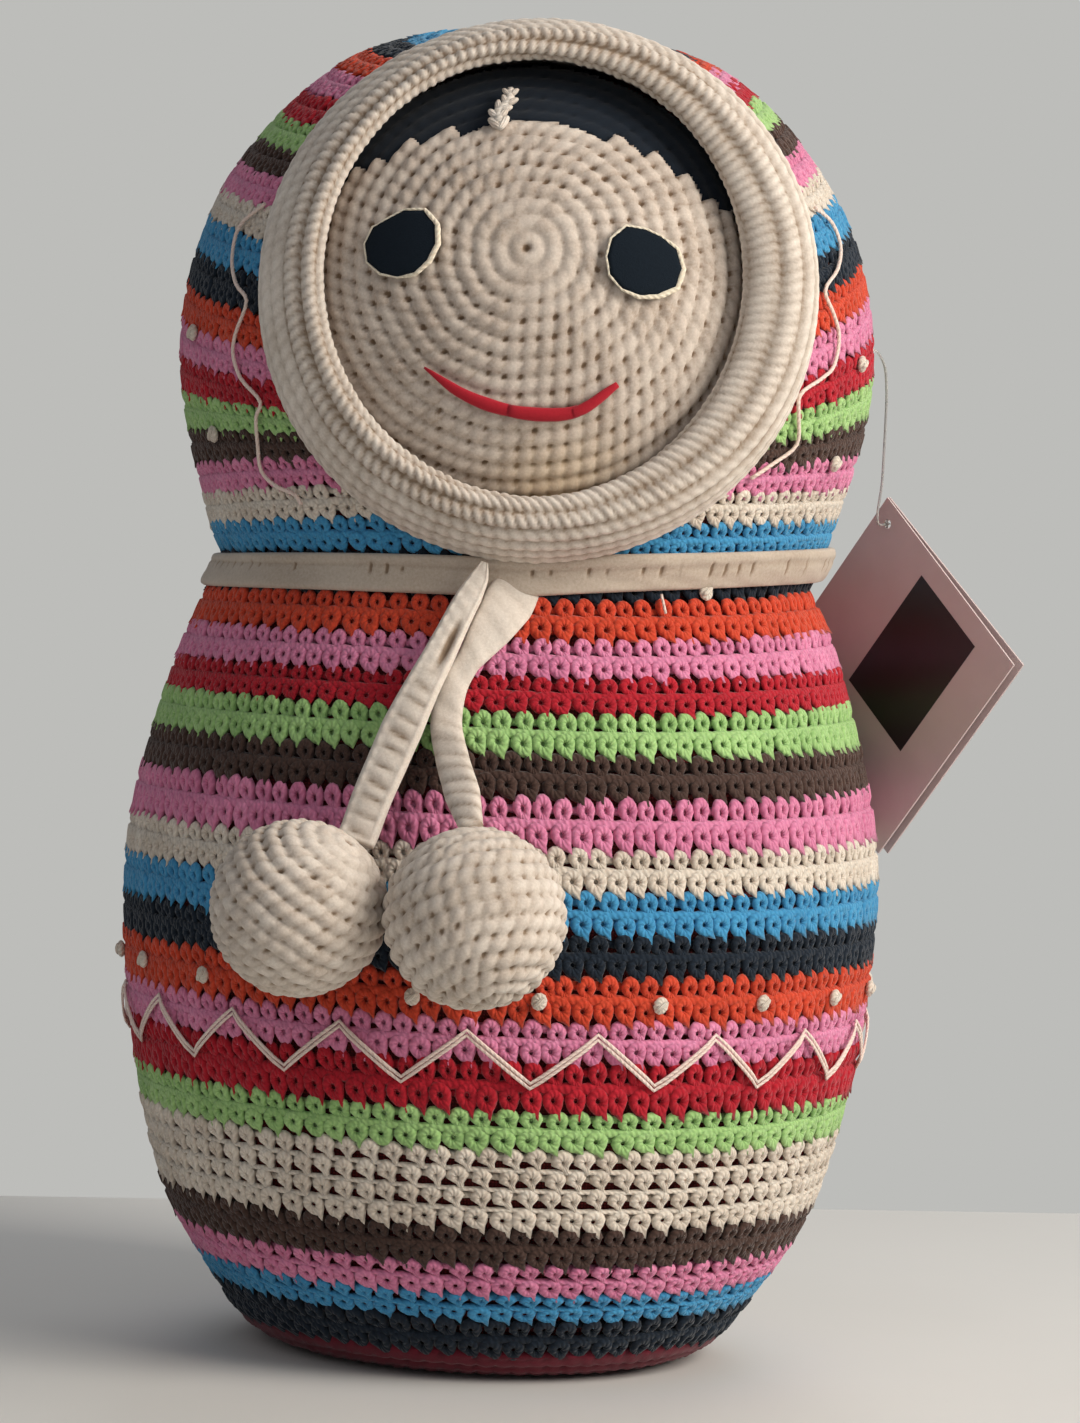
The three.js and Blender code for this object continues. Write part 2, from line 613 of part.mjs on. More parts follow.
// Zigzag thread round the skirt, a closed ring with a corner at each turn
function addZigzag() {
  const half = ZIGZAG_THREAD / 2;
  const corners = 2 * ZIGZAG_COUNT;
  const sections = Array.from({ length: corners }, (_, i) => {
    const angle = (2 * Math.PI * i) / corners;
    const height = ZIGZAG_LOW + (i % 2) * ZIGZAG_TALL;
    const radius = coverPoint(alongAt(height), 0).x + ZIGZAG_LIFT + half;
    return [[-half, -half], [half, -half], [half, half], [-half, half]].map(([out, up]) => (
      new THREE.Vector3((radius + out) * Math.sin(angle), -(radius + out) * Math.cos(angle), height + up)));
  });
  addPiece(doll, 'skirt_zigzag', loft(sections, true), YARN.cream);
}

// Tag: two leaves of card joined at a fold, each with a hole near the hung corner, and the thread
function addTag() {
  const yaw = new THREE.Group();
  const distance = BELLY_RADIUS - TAG_INSET;
  yaw.position.set(
    distance * Math.cos(TAG_YAW) + TAG_SIDE * Math.sin(TAG_YAW),
    distance * Math.sin(TAG_YAW) - TAG_SIDE * Math.cos(TAG_YAW),
    headHeight - TAG_DROP,
  );
  yaw.rotation.z = TAG_YAW - Math.PI / 2;
  const upright = new THREE.Group();
  upright.rotation.x = Math.PI / 2;
  const spin = new THREE.Group();
  spin.rotation.z = TAG_SPIN;
  doll.add(yaw);
  yaw.add(upright);
  upright.add(spin);

  const outlineOfLeaf = new THREE.Shape();
  outlineOfLeaf.moveTo(0, 0);
  outlineOfLeaf.lineTo(0, -TAG_LENGTH);
  outlineOfLeaf.lineTo(TAG_WIDTH, -TAG_LENGTH);
  outlineOfLeaf.lineTo(TAG_WIDTH, 0);
  outlineOfLeaf.closePath();
  const hole = new THREE.Path();
  hole.absarc(TAG_HOLE_INSET, -TAG_HOLE_INSET, TAG_HOLE_RADIUS, 0, 2 * Math.PI);
  outlineOfLeaf.holes.push(hole);
  const cutCard = { depth: TAG_CARD, bevelEnabled: false, curveSegments: HOLE_SIDES / 2 };
  const leaf = new THREE.ExtrudeGeometry(outlineOfLeaf, cutCard);
  addPiece(spin, 'tag_front_leaf', closedBody(leaf), CARD_PINK, CARD_ROUGHNESS);
  const back = addPiece(spin, 'tag_back_leaf', closedBody(leaf), CARD_PINK, CARD_ROUGHNESS);
  back.position.z = -TAG_FOLD_GAP - TAG_CARD;
  back.rotation.y = TAG_LEAF_OPEN;

  doll.updateMatrixWorld(true);
  const inHole = (out) => spin.localToWorld(new THREE.Vector3(TAG_HOLE_INSET, -TAG_HOLE_INSET, out));
  const route = THREAD_POINTS.map(([reach, rise]) => new THREE.Vector3(
    (HEAD_RADIUS + reach) * Math.cos(THREAD_TURN),
    (HEAD_RADIUS + reach) * Math.sin(THREAD_TURN),
    headHeight + rise,
  ));
  route.push(inHole(THREAD_RUN_IN), inHole(TAG_CARD), inHole(-TAG_CARD - TAG_FOLD_GAP - THREAD_PAST_CARD));
  const thread = tube(new THREE.CatmullRomCurve3(route), THREAD_DIAMETER, THREAD_STEPS);
  addPiece(doll, 'tag_thread', thread, NYLON_WHITE, NYLON_ROUGHNESS);
}

addBase();
addBody();
addBodyStripes();
addHead();
addHoodStripes();
addPiece(doll, 'neck_strap', neckStrapSolid(0), YARN.cream);
addBrim();
addFace();
addPiece(doll, 'tie_left', tieGeometry(LEFT_TIE_POINTS), YARN.cream);
addPiece(doll, 'tie_right', tieGeometry(RIGHT_TIE_POINTS), YARN.cream);
addBall('left', LEFT_BALL, LEFT_TIE_POINTS);
addBall('right', RIGHT_BALL, RIGHT_TIE_POINTS);
addZigzag();
addTag();

export default doll;
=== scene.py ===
# %% [markdown]
# A crocheted nesting doll, dressed stitch by stitch over its CAD model. The CAD model comes in first as a
# fixed frame. Sizes on the doll are written in millimetres, as a maker would measure the toy, and MM turns
# them to metres.

# %% Load the frame
import math

import bmesh
import bpy
import numpy as np
from mathutils import Matrix, Vector


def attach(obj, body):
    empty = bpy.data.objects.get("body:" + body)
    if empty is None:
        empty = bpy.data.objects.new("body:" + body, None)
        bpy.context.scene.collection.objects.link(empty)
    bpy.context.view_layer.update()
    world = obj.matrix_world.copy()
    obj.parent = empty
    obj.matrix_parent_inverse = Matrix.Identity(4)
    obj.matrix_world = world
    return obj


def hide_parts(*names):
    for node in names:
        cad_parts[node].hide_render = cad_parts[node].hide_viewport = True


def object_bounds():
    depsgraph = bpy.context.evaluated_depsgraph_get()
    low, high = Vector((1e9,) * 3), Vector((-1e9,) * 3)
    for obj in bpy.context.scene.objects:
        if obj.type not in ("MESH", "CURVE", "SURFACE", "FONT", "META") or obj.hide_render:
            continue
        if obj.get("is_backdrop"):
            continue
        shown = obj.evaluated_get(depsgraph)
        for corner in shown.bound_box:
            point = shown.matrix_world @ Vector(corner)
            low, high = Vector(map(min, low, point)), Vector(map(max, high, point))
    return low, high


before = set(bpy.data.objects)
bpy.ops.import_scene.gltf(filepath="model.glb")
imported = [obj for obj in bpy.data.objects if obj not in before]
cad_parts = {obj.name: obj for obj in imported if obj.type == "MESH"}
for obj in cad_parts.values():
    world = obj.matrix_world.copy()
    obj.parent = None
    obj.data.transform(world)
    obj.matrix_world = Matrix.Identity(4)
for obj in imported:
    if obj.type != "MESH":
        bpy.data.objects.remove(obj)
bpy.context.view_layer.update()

MM = 0.001
rng = np.random.default_rng(11)

# %% [markdown]
# The camera stands where the photographer stood: 1.2 m in front, a little above the doll's middle, tipped
# down 2.3 degrees and rolled 2.8 degrees, with a long lens, so the near balls are hardly larger than the
# far hood.

# %% Camera
CAMERA_AT = np.array([7.81, -1211, 212.6])
lens = bpy.data.cameras.new("camera")
lens.lens = 118.9
camera = bpy.data.objects.new("camera", lens)
camera.matrix_world = (
    Matrix.Translation(CAMERA_AT * MM)
    @ Matrix.Rotation(math.radians(90 - 2.3), 4, "X")
    @ Matrix.Rotation(math.radians(2.8), 4, "Z")
)
bpy.context.collection.objects.link(camera)
bpy.context.scene.camera = camera
bpy.context.scene.view_settings.view_transform = "Standard"
print("Camera at", [round(v, 3) for v in camera.location])

# %% [markdown]
# Colours are written as the sRGB hex values that an eye picks, and one function turns them to the linear
# values that shaders use. A second small function adds a node, sets it and links it. The few groups of
# nodes that most materials share are functions too, so that each material below reads as a list of what
# it is made of.

# %% Colour and node helpers
def linear(hex_colour):
    """An sRGB hex colour as the linear RGBA of a socket."""
    parts = [int(hex_colour[i:i + 2], 16) / 255 for i in (1, 3, 5)]
    return [v / 12.92 if v <= 0.04045 else ((v + 0.055) / 1.055) ** 2.4 for v in parts] + [1.0]


def add(tree, kind, settings=None, sockets=None):
    """Adds a node: settings are its properties, sockets its inputs, as values or as outputs to link."""
    node = tree.nodes.new(kind)
    for key, value in (settings or {}).items():
        setattr(node, key, value)
    for key, value in (sockets or {}).items():
        if isinstance(value, bpy.types.NodeSocket):
            tree.links.new(value, node.inputs[key])
        else:
            node.inputs[key].default_value = value
    return node


def bare_material(name):
    """A new material with an empty node tree."""
    material = bpy.data.materials.new(name)
    material.use_nodes = True
    material.node_tree.nodes.clear()
    return material, material.node_tree


def noise(tree, scale, detail, **more):
    """Noise that stays with the object, with about so many cells to a metre."""
    place = add(tree, "ShaderNodeTexCoord")
    sockets = {"Vector": place.outputs["Object"], "Scale": scale, "Detail": detail, **more}
    return add(tree, "ShaderNodeTexNoise", None, sockets).outputs[0]


def weighed(tree, value, weight, plus):
    """A value times a weight, with something added."""
    sockets = {0: value, 1: weight, 2: plus}
    return add(tree, "ShaderNodeMath", {"operation": "MULTIPLY_ADD"}, sockets).outputs[0]


def blend(tree, share, one, other):
    """One colour mixed with the other's share."""
    return add(tree, "ShaderNodeMix", {"data_type": "RGBA"}, {0: share, 6: one, 7: other}).outputs[2]


def surface(tree, colour, look, relief=None):
    """Ends a material: look sets the shader, and relief is a height, its strength and its depth in metres."""
    sockets = {"Base Color": colour, **look}
    if relief:
        height, strength, depth = relief
        bump = add(tree, "ShaderNodeBump", None, {"Height": height, "Strength": strength, "Distance": depth})
        sockets["Normal"] = bump.outputs[0]
    shader = add(tree, "ShaderNodeBsdfPrincipled", None, sockets)
    add(tree, "ShaderNodeOutputMaterial", None, {"Surface": shader.outputs[0]})


print("White is", linear("#FFFFFF"))

# %% [markdown]
# The doll stands on a pale painted table in front of a pale wall. The wall is far tone only: behind a line
# on the table the floor takes the wall's colour, so nothing hides the doll when it is looked at from behind.

# %% Table and wall
WALL = "#BDBDBA"
# the far edge of the table lies 0.24 m behind the doll and runs aslant
FAR_EDGE = {"Location": (0, -0.24, 0), "Rotation": (0, 0, math.radians(-12.6))}
material, tree = bare_material("painted_table")
place = add(tree, "ShaderNodeTexCoord")
turned = add(tree, "ShaderNodeMapping", {"vector_type": "POINT"},
             {"Vector": place.outputs["Object"], **FAR_EDGE})
apart = add(tree, "ShaderNodeSeparateXYZ", None, {"Vector": turned.outputs[0]})
behind = add(tree, "ShaderNodeMath", {"operation": "GREATER_THAN"}, {0: apart.outputs["Y"], 1: 0.0})
# matt paint, a little uneven in tone
paint = blend(tree, noise(tree, 9, 4), linear("#DAD9D5"), linear("#D3D2CE"))
table_top = add(tree, "ShaderNodeBsdfPrincipled", None, {"Base Color": paint, "Roughness": 0.6})
wall_tone = add(tree, "ShaderNodeEmission", None, {"Color": linear(WALL), "Strength": 1.0})
ray = add(tree, "ShaderNodeLightPath")
seen = add(tree, "ShaderNodeMath", {"operation": "MULTIPLY"},
           {0: behind.outputs[0], 1: ray.outputs["Is Camera Ray"]})
both = add(tree, "ShaderNodeMixShader", None,
           {0: seen.outputs[0], 1: table_top.outputs[0], 2: wall_tone.outputs[0]})
add(tree, "ShaderNodeOutputMaterial", None, {"Surface": both.outputs[0]})
bpy.ops.object.select_all(action="DESELECT")
bpy.ops.mesh.primitive_plane_add(size=12)
floor = bpy.context.object
floor.name = "table"
floor.data.materials.append(material)
floor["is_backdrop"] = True
print("Table is", round(floor.dimensions.x, 1), "m wide")

# %% [markdown]
# A window on the right is the photograph's light. A large lamp stands for it, and an even sky fills the
# shade, so the left side of the doll is darker but never black. Two weak lamps stand for the rest of the
# room. The camera sees the wall's tone instead of the sky.

# %% Light
world = bpy.data.worlds.new("room")
bpy.context.scene.world = world
world.use_nodes = True
tree = world.node_tree
tree.nodes.clear()
ray = add(tree, "ShaderNodeLightPath")
sky = add(tree, "ShaderNodeBackground", None, {"Color": linear("#F4F6FA"), "Strength": 0.25})
wall_tone = add(tree, "ShaderNodeBackground", None, {"Color": linear(WALL), "Strength": 1.0})
seen = add(tree, "ShaderNodeMixShader", None,
           {0: ray.outputs["Is Camera Ray"], 1: sky.outputs[0], 2: wall_tone.outputs[0]})
add(tree, "ShaderNodeOutputWorld", None, {"Surface": seen.outputs[0]})


def window(name, place, size, energy, colour):
    """A square lamp that looks from its place, in metres, at the middle of the doll."""
    lamp = bpy.data.lights.new(name, "AREA")
    lamp.size = size
    lamp.energy = energy
    lamp.color = linear(colour)[:3]
    lit = bpy.data.objects.new(name, lamp)
    towards = Vector((0, 0, 0.17)) - Vector(place)
    lit.matrix_world = Matrix.Translation(place) @ towards.to_track_quat("-Z", "Y").to_matrix().to_4x4()
    bpy.context.collection.objects.link(lit)


window("window_right", (1.05, -0.6, 0.85), 0.8, 21.5, "#FFF8EE")
window("room_front", (-0.3, -1.7, 1.0), 1.4, 3.6, "#F2F5FA")
window("room_back", (0.4, 1.5, 1.3), 1.4, 9, "#F6F6F6")

# %% [markdown]
# The yarn is soft craft cotton: two plies twisted together, matt, with short fibres that catch light at
# the rim. The twist follows each strand by its own UV map, and the grooves between the plies are painted
# darker: painted shade. The fibres and the faded patches follow the object, and a number on every stitch
# makes some stitches deeper than their neighbours, as dye and tension do. On close crochet, tapes and strap
# the same number also darkens pits, grooves and slits: painted shade. The face is darker and yellower about
# the chin: partly yellowed yarn, partly painted shade.

# %% Cotton yarn
# middle and reach of the darker yellow patch about the chin, partly yellowed yarn and partly painted shade,
# in metres
STAIN_AND_SHADE_MIDDLE = (0.012, -0.083, 0.212)
STAIN_AND_SHADE_REACH = 0.034


def cotton_yarn(name, colour, deep, stain_and_shade=None):
    """Twisted cotton, with painted shade in the grooves between its plies, and deeper fibres. The last colour
    is that of a patch about the chin, partly yellowed yarn and partly painted shade.
    """
    material, tree = bare_material(name)
    strand = add(tree, "ShaderNodeUVMap", {"uv_map": "Yarn"})
    # 9 twists to the 14 mm of a stitch and 2 plies round: bands of about 1.5 mm, 0.628 is one band to a unit
    twist_place = add(tree, "ShaderNodeMapping", None, {"Vector": strand.outputs[0], "Scale": (9, 2, 1)})
    wave = add(tree, "ShaderNodeTexWave", {"bands_direction": "DIAGONAL"},
               {"Vector": twist_place.outputs[0], "Scale": 0.628, "Distortion": 0.0})
    twist = wave.outputs["Fac"]
    # fibres of 0.7 mm, coarser than real lint so that they show
    lint = noise(tree, 1400, 3, Roughness=0.7)
    fade = noise(tree, 60, 2)
    shade = add(tree, "ShaderNodeAttribute", {"attribute_name": "shade"})
    # painted shade: the grooves between the plies are deeper in colour
    groove = weighed(tree, twist, -0.3, 0.3)
    lint_and_ply_shade = weighed(tree, lint, 0.7, groove)
    patch = weighed(tree, fade, 0.5, lint_and_ply_shade)
    # the shade number: random dye per stitch, and painted shade in pits, grooves and slits
    dye_and_shade = add(tree, "ShaderNodeMath", {"operation": "ADD"}, {0: patch, 1: shade.outputs["Fac"]})
    depth = add(tree, "ShaderNodeMapRange", None,
                {"Value": dye_and_shade.outputs[0], "From Min": 0.5, "From Max": 2.0, "To Min": 0.0, "To Max": 1.0})
    tone = blend(tree, depth.outputs[0], linear(colour), linear(deep))
    # partly yellowing and partly painted shade: darker and yellower towards the chin
    if stain_and_shade:
        place = add(tree, "ShaderNodeTexCoord")
        about = add(tree, "ShaderNodeMapping", None,
                    {"Vector": place.outputs["Object"], "Scale": [1 / STAIN_AND_SHADE_REACH] * 3,
                     "Location": [-v / STAIN_AND_SHADE_REACH for v in STAIN_AND_SHADE_MIDDLE]})
        fading = add(tree, "ShaderNodeTexGradient", {"gradient_type": "QUADRATIC_SPHERE"},
                     {"Vector": about.outputs[0]})
        tone = blend(tree, fading.outputs["Fac"], tone, linear(stain_and_shade))
    soft = {"Roughness": 0.9, "Sheen Weight": 0.12, "Sheen Roughness": 0.5, "Specular IOR Level": 0.15,
            "Subsurface Weight": 0.25, "Subsurface Radius": (1.0, 0.8, 0.7), "Subsurface Scale": 0.0015}
    surface(tree, tone, soft, (weighed(tree, lint, 0.5, twist), 0.45, 0.0004))
    return material


# The cream yarn is one yarn in several copies: the pale copy of the brim, the balls and the hanging ends is
# painted lighter and the cream copy of the cover, strap and knots painted darker: painted light and painted
# shade. The face's copy has a darker deep colour for its pits, and the hair is the navy yarn painted darker:
# painted shade. The base's dark red is partly the yarn's colour and partly painted shade under the doll.
# Every deep colour is that of deeper dyed stitches and of the painted shade in pits and grooves.
YARN = {
    "cream": cotton_yarn("cotton_yarn_cream_painted_shade", "#E3D8CA", "#8A7561"),
    "pale": cotton_yarn("cotton_yarn_cream_painted_light", "#F5ECE1", "#8E7965"),
    "navy": cotton_yarn("cotton_yarn_navy", "#1B2531", "#0A0E14"),
    "blue": cotton_yarn("cotton_yarn_blue", "#4896C2", "#1F5F8C"),
    "pink": cotton_yarn("cotton_yarn_pink", "#DF8CAD", "#983C64"),
    "brown": cotton_yarn("cotton_yarn_brown", "#4F3B34", "#211713"),
    "green": cotton_yarn("cotton_yarn_green", "#A8CC86", "#55823A"),
    "red": cotton_yarn("cotton_yarn_red", "#B8202F", "#660F18"),
    "orange": cotton_yarn("cotton_yarn_orange", "#D24A30", "#842412"),
    "base": cotton_yarn("cotton_yarn_dark_red_and_painted_shade", "#74202F", "#450D19"),
    "hair": cotton_yarn("cotton_yarn_navy_painted_shade", "#18222E", "#0A0F16"),
    "face": cotton_yarn("cotton_yarn_face", "#F0E5D9", "#7D6652", "#DDC198"),
}
print("Yarns:", len(YARN))

# %% [markdown]
# Crochet is one stitch made thousands of times, so one stitch is modelled and copied. It is modelled a
# metre for a millimetre, because operators work best at that size: points are picked by their place,
# pulled, and in the end read back as numbers.

# %% Modelling helpers
def start(kind, **sizes):
    """Adds a primitive with nothing else selected, and goes into edit mode."""
    bpy.ops.object.select_all(action="DESELECT")
    getattr(bpy.ops.mesh, f"primitive_{kind}_add")(**sizes)
    bpy.ops.object.mode_set(mode="EDIT")


def pick(test):
    """Selects, in edit mode, only the vertices whose place passes the test."""
    bpy.ops.mesh.select_mode(type="VERT")
    bpy.ops.mesh.select_all(action="DESELECT")
    shape = bmesh.from_edit_mesh(bpy.context.object.data)
    for corner in shape.verts:
        corner.select_set(test(corner.co))
    shape.select_flush_mode()
    bmesh.update_edit_mesh(bpy.context.object.data)


def read_off():
    """Takes the shape being edited off the table as numbers: places, corners, face starts and its UV map."""
    bpy.ops.object.mode_set(mode="OBJECT")
    shape = bpy.context.object
    mesh = shape.data
    co = np.empty(len(mesh.vertices) * 3)
    mesh.vertices.foreach_get("co", co)
    corners = np.empty(len(mesh.loops), np.int32)
    mesh.loops.foreach_get("vertex_index", corners)
    starts = np.empty(len(mesh.polygons), np.int32)
    mesh.polygons.foreach_get("loop_start", starts)
    uv = np.zeros(len(mesh.loops) * 2)
    if mesh.uv_layers:
        mesh.uv_layers.active.data.foreach_get("uv", uv)
    bpy.data.objects.remove(shape)
    return {"co": co.reshape(-1, 3), "corners": corners, "starts": starts, "uv": uv.reshape(-1, 2)}


print("Ready to model, a metre for a millimetre")

# %% [markdown]
# On the cover a stitch looks like a ring with a small eye, and its foot goes down into the round below.
# There are three kinds. Most feet are narrowed and dive between the stitches below. Where the work is loose
# they are thin posts that stand apart. Where the colour changes, one point of the foot spikes out over the
# stripe below. All are the same torus, pulled by different amounts. A single strand, which is a stretched
# ball, serves for knots and curls.

# %% The open stitches of the cover
# outer radius of the ring
STITCH_REACH = 2.68


def open_stitch(narrow, foot, tip=None, eye=0.42):
    """A ring of yarn round an eye, with a foot that is made narrow and drawn out. A tip pulls one thin point
    of the foot further."""
    start("torus", major_segments=14, minor_segments=6, major_radius=(STITCH_REACH + eye) / 2,
          minor_radius=(STITCH_REACH - eye) / 2, generate_uvs=True)
    bpy.ops.transform.resize(value=(0.94, 1.14, 0.8))
    soft = {"use_proportional_edit": True, "proportional_edit_falloff": "SMOOTH"}
    pick(lambda co: co.y < -1.0)
    bpy.ops.transform.resize(value=(narrow, 1, 1), center_override=(0.1, 0, 0), proportional_size=1.5, **soft)
    pick(lambda co: co.y < -1.5 and abs(co.x) < 1.2)
    bpy.ops.transform.translate(value=foot, proportional_size=2.4, **soft)
    if tip:
        pick(lambda co: co.y < -2.95 and co.x > 0.2)
        bpy.ops.transform.translate(value=tip)
    return read_off()


diving_stitch = open_stitch(0.72, (0.2, -0.7, -0.8))
post_stitch = open_stitch(0.38, (0.1, -0.7, -0.5), eye=0.1)
spiking_stitch = open_stitch(0.9, (0.15, -0.25, -0.1), (0.32, -1.2, 1.05))
for stitch in (diving_stitch, post_stitch, spiking_stitch):
    print("Open stitch:", np.round(np.ptp(stitch["co"], axis=0), 2), "mm")

# %% The single strand of knots and curls
start("uv_sphere", segments=8, ring_count=6, radius=1)
bpy.ops.transform.rotate(value=math.pi / 2, orient_axis="Y", center_override=(0, 0, 0))
bpy.ops.transform.resize(value=(2.0, 0.85, 0.85))
strand = read_off()
print("Strand:", np.round(np.ptp(strand["co"], axis=0), 2), "mm")

# %% [markdown]
# The stitches of one piece are gathered into one mesh. Each copy gets its own small square of a second UV
# map, so that the export can bake it, and its own depth of dye. Backing cloth is spun from a profile, and
# threads are tubes drawn along a line of points. Close crochet is a fine grid of points that is raised
# stitch by stitch and closed behind or at its poles. All of them make the same kind of part, which the last
# function here gathers into a named piece.

# %% Lines, turns and grids
def unit(v):
    """Directions made one long."""
    return v / np.linalg.norm(v, axis=-1, keepdims=True)


def lengths_along(points):
    """How far along a line each of its points lies."""
    return np.concatenate([[0], np.cumsum(np.linalg.norm(np.diff(points, axis=0), axis=1))])


def full_turn(count):
    """Some angles, evenly once round."""
    return np.linspace(0, 2 * math.pi, count, endpoint=False)


def grid(rows, columns):
    """Every row's value with every column's value, as two tables."""
    return np.meshgrid(rows, columns, indexing="ij")


print("A quarter turn is", round(full_turn(4)[1], 4))

# %% Copying a stitch
def sew(stitch, origin, right, up, out, scale=1.0, dye=0.35):
    """Copies a stitch to every place: right, up and out are the directions of its own x, y and z."""
    origin, right, up, out = (np.atleast_2d(np.asarray(a, float)) for a in (origin, right, up, out))
    count = len(origin)
    size = np.broadcast_to(np.asarray(scale, float).reshape(-1, 1, 1), (count, 1, 1))
    axes = np.stack(np.broadcast_arrays(right, up, out, origin)[:3], axis=1) * size
    co = np.einsum("vk,nkd->nvd", stitch["co"], axes) + origin[:, None]
    number = np.arange(count)[:, None]
    return {
        "co": co.reshape(-1, 3),
        "corners": (stitch["corners"] + number * len(stitch["co"])).ravel(),
        "starts": (stitch["starts"] + number * len(stitch["corners"])).ravel(),
        "yarn": np.tile(stitch["uv"], (count, 1)),
        "cell": np.repeat(np.arange(count), len(stitch["corners"])),
        "own": np.tile(stitch["uv"], (count, 1)),
        "shade": np.repeat(rng.random(count) * dye, len(stitch["co"])),
    }


def laid(body, dye=0.3):
    """A body where it is, as a part to gather."""
    return sew(body, (0, 0, 0), (1, 0, 0), (0, 1, 0), (0, 0, 1), 1.0, dye)


print("A copied strand has", len(strand["starts"]), "faces")

# %% Spinning a body from a profile
def spun(profile, steps, closed=False):
    """Spins a profile of (radius, height) once round the height axis into a closed body."""
    mesh = bpy.data.meshes.new("profile")
    links = [(i, i + 1) for i in range(len(profile) - 1)]
    if closed:
        links.append((len(profile) - 1, 0))
    mesh.from_pydata([(r, 0, h) for r, h in profile], links, [])
    bpy.ops.object.select_all(action="DESELECT")
    shape = bpy.data.objects.new("profile", mesh)
    bpy.context.collection.objects.link(shape)
    bpy.context.view_layer.objects.active = shape
    shape.select_set(True)
    bpy.ops.object.mode_set(mode="EDIT")
    bpy.ops.mesh.select_all(action="SELECT")
    bpy.ops.mesh.spin(steps=steps, angle=2 * math.pi, center=(0, 0, 0), axis=(0, 0, 1))
    bpy.ops.mesh.select_all(action="SELECT")
    bpy.ops.mesh.remove_doubles(threshold=0.01)
    bpy.ops.mesh.select_all(action="SELECT")
    bpy.ops.mesh.normals_make_consistent(inside=False)
    body = read_off()
    at = body["co"][body["corners"]]
    u = np.arctan2(at[:, 1], at[:, 0]) / (2 * math.pi) + 0.5
    # a face across the seam keeps its corners together, and a corner on the axis goes between its neighbours
    starts = body["starts"]
    axis = np.hypot(at[:, 0], at[:, 1]) < 0.01
    face = np.repeat(np.arange(len(starts)), np.diff([*starts, len(u)]))
    most = np.maximum.reduceat(np.where(axis, 0, u), starts)
    least = np.minimum.reduceat(np.where(axis, 1, u), starts)
    u = u + ((u < 0.5) & ((most - least)[face] > 0.5))
    middle = np.add.reduceat(np.where(axis, 0, u), starts) / np.maximum(1, np.add.reduceat(~axis, starts))
    u = np.where(axis, middle[face], u)
    body["uv"] = np.stack([u * 0.9, (at[:, 2] - at[:, 2].min()) / np.ptp(at[:, 2])], axis=1) * 0.98 + 0.01
    return body


print("Ready to spin profiles")

# %% Drawing a thread
# millimetres of yarn to a stitch: over this length the map of the twist runs once
STITCH_YARN = 14


def drawn(points, radius, sides=6, closed=False, flat=None, plain=False):
    """A thread along points. radius may differ from point to point, flat is (across, share of width, share of
    thickness), and a plain one shows no twist."""
    points = np.asarray(points, float)
    count = len(points)
    ahead = np.roll(points, -1, 0) - np.roll(points, 1, 0)
    if not closed:
        ahead[0] = points[1] - points[0]
        ahead[-1] = points[-1] - points[-2]
    ahead = unit(ahead)
    if flat is None:
        # one side is carried along the line, so that the tube never twists
        side = np.cross(ahead[0], (0.3, 0.2, 0.93))
        carried = []
        for direction in ahead:
            side = unit(side - (side @ direction) * direction)
            carried.append(side)
        across, wide, thick = np.array(carried), 1.0, 1.0
    else:
        across, wide, thick = flat
        across = unit(across - np.sum(across * ahead, axis=1, keepdims=True) * ahead)
    out = np.cross(across, ahead)
    turn = np.arange(sides) * 2 * math.pi / sides
    girth = np.broadcast_to(np.asarray(radius, float), (count,))[:, None, None]
    ring = (np.cos(turn)[None, :, None] * across[:, None] * wide
            + np.sin(turn)[None, :, None] * out[:, None] * thick)
    co = (points[:, None] + ring * girth).reshape(-1, 3)
    spans = count if closed else count - 1
    i, j = grid(np.arange(spans), np.arange(sides))
    i2, j2 = (i + 1) % count, (j + 1) % sides
    quads = np.stack([i * sides + j, i2 * sides + j, i2 * sides + j2, i * sides + j2], axis=-1).reshape(-1, 4)
    run = lengths_along(points)
    run = np.append(run, run[-1] + np.linalg.norm(points[0] - points[-1])) / STITCH_YARN
    u = np.stack([run[i], run[i + 1], run[i + 1], run[i]], axis=-1)
    v = np.stack([j, j, j + 1, j + 1], axis=-1) / sides
    yarn = np.stack([u, v], axis=-1).reshape(-1, 2) * (not plain)
    own = np.stack([u / run[-1], v], axis=-1).reshape(-1, 2)
    corners, starts = quads.ravel(), np.arange(len(quads)) * 4
    if not closed:
        caps = np.concatenate([np.arange(sides), np.arange(sides)[::-1] + (count - 1) * sides])
        starts = np.append(starts, [len(corners), len(corners) + sides])
        corners = np.append(corners, caps)
        disc = np.stack([np.cos(turn), np.sin(turn)], axis=-1) * 0.01 + 0.02
        yarn, own = np.concatenate([yarn, disc, disc]), np.concatenate([own, disc, disc])
    return {"co": co, "corners": corners, "starts": starts, "yarn": yarn, "own": own,
            "cell": np.zeros(len(corners), int), "shade": np.full(len(co), 0.15)}


print("A thread over three points has", len(drawn([(0, 0, 0), (5, 0, 0), (9, 2, 0)], 0.5)["starts"]), "faces")

# %% Fine grids
def grid_part(co, faces, own, shade):
    """A part from places, lists of faces of one size each, a UV for every corner and a shade for every
    place."""
    corners = np.concatenate([f.ravel() for f in faces])
    sizes = np.concatenate([np.full(len(f), f.shape[1]) for f in faces])
    return {"co": co, "corners": corners, "starts": np.cumsum(sizes) - sizes, "own": own, "shade": shade,
            "yarn": np.zeros((len(corners), 2)), "cell": np.zeros(len(corners), int)}


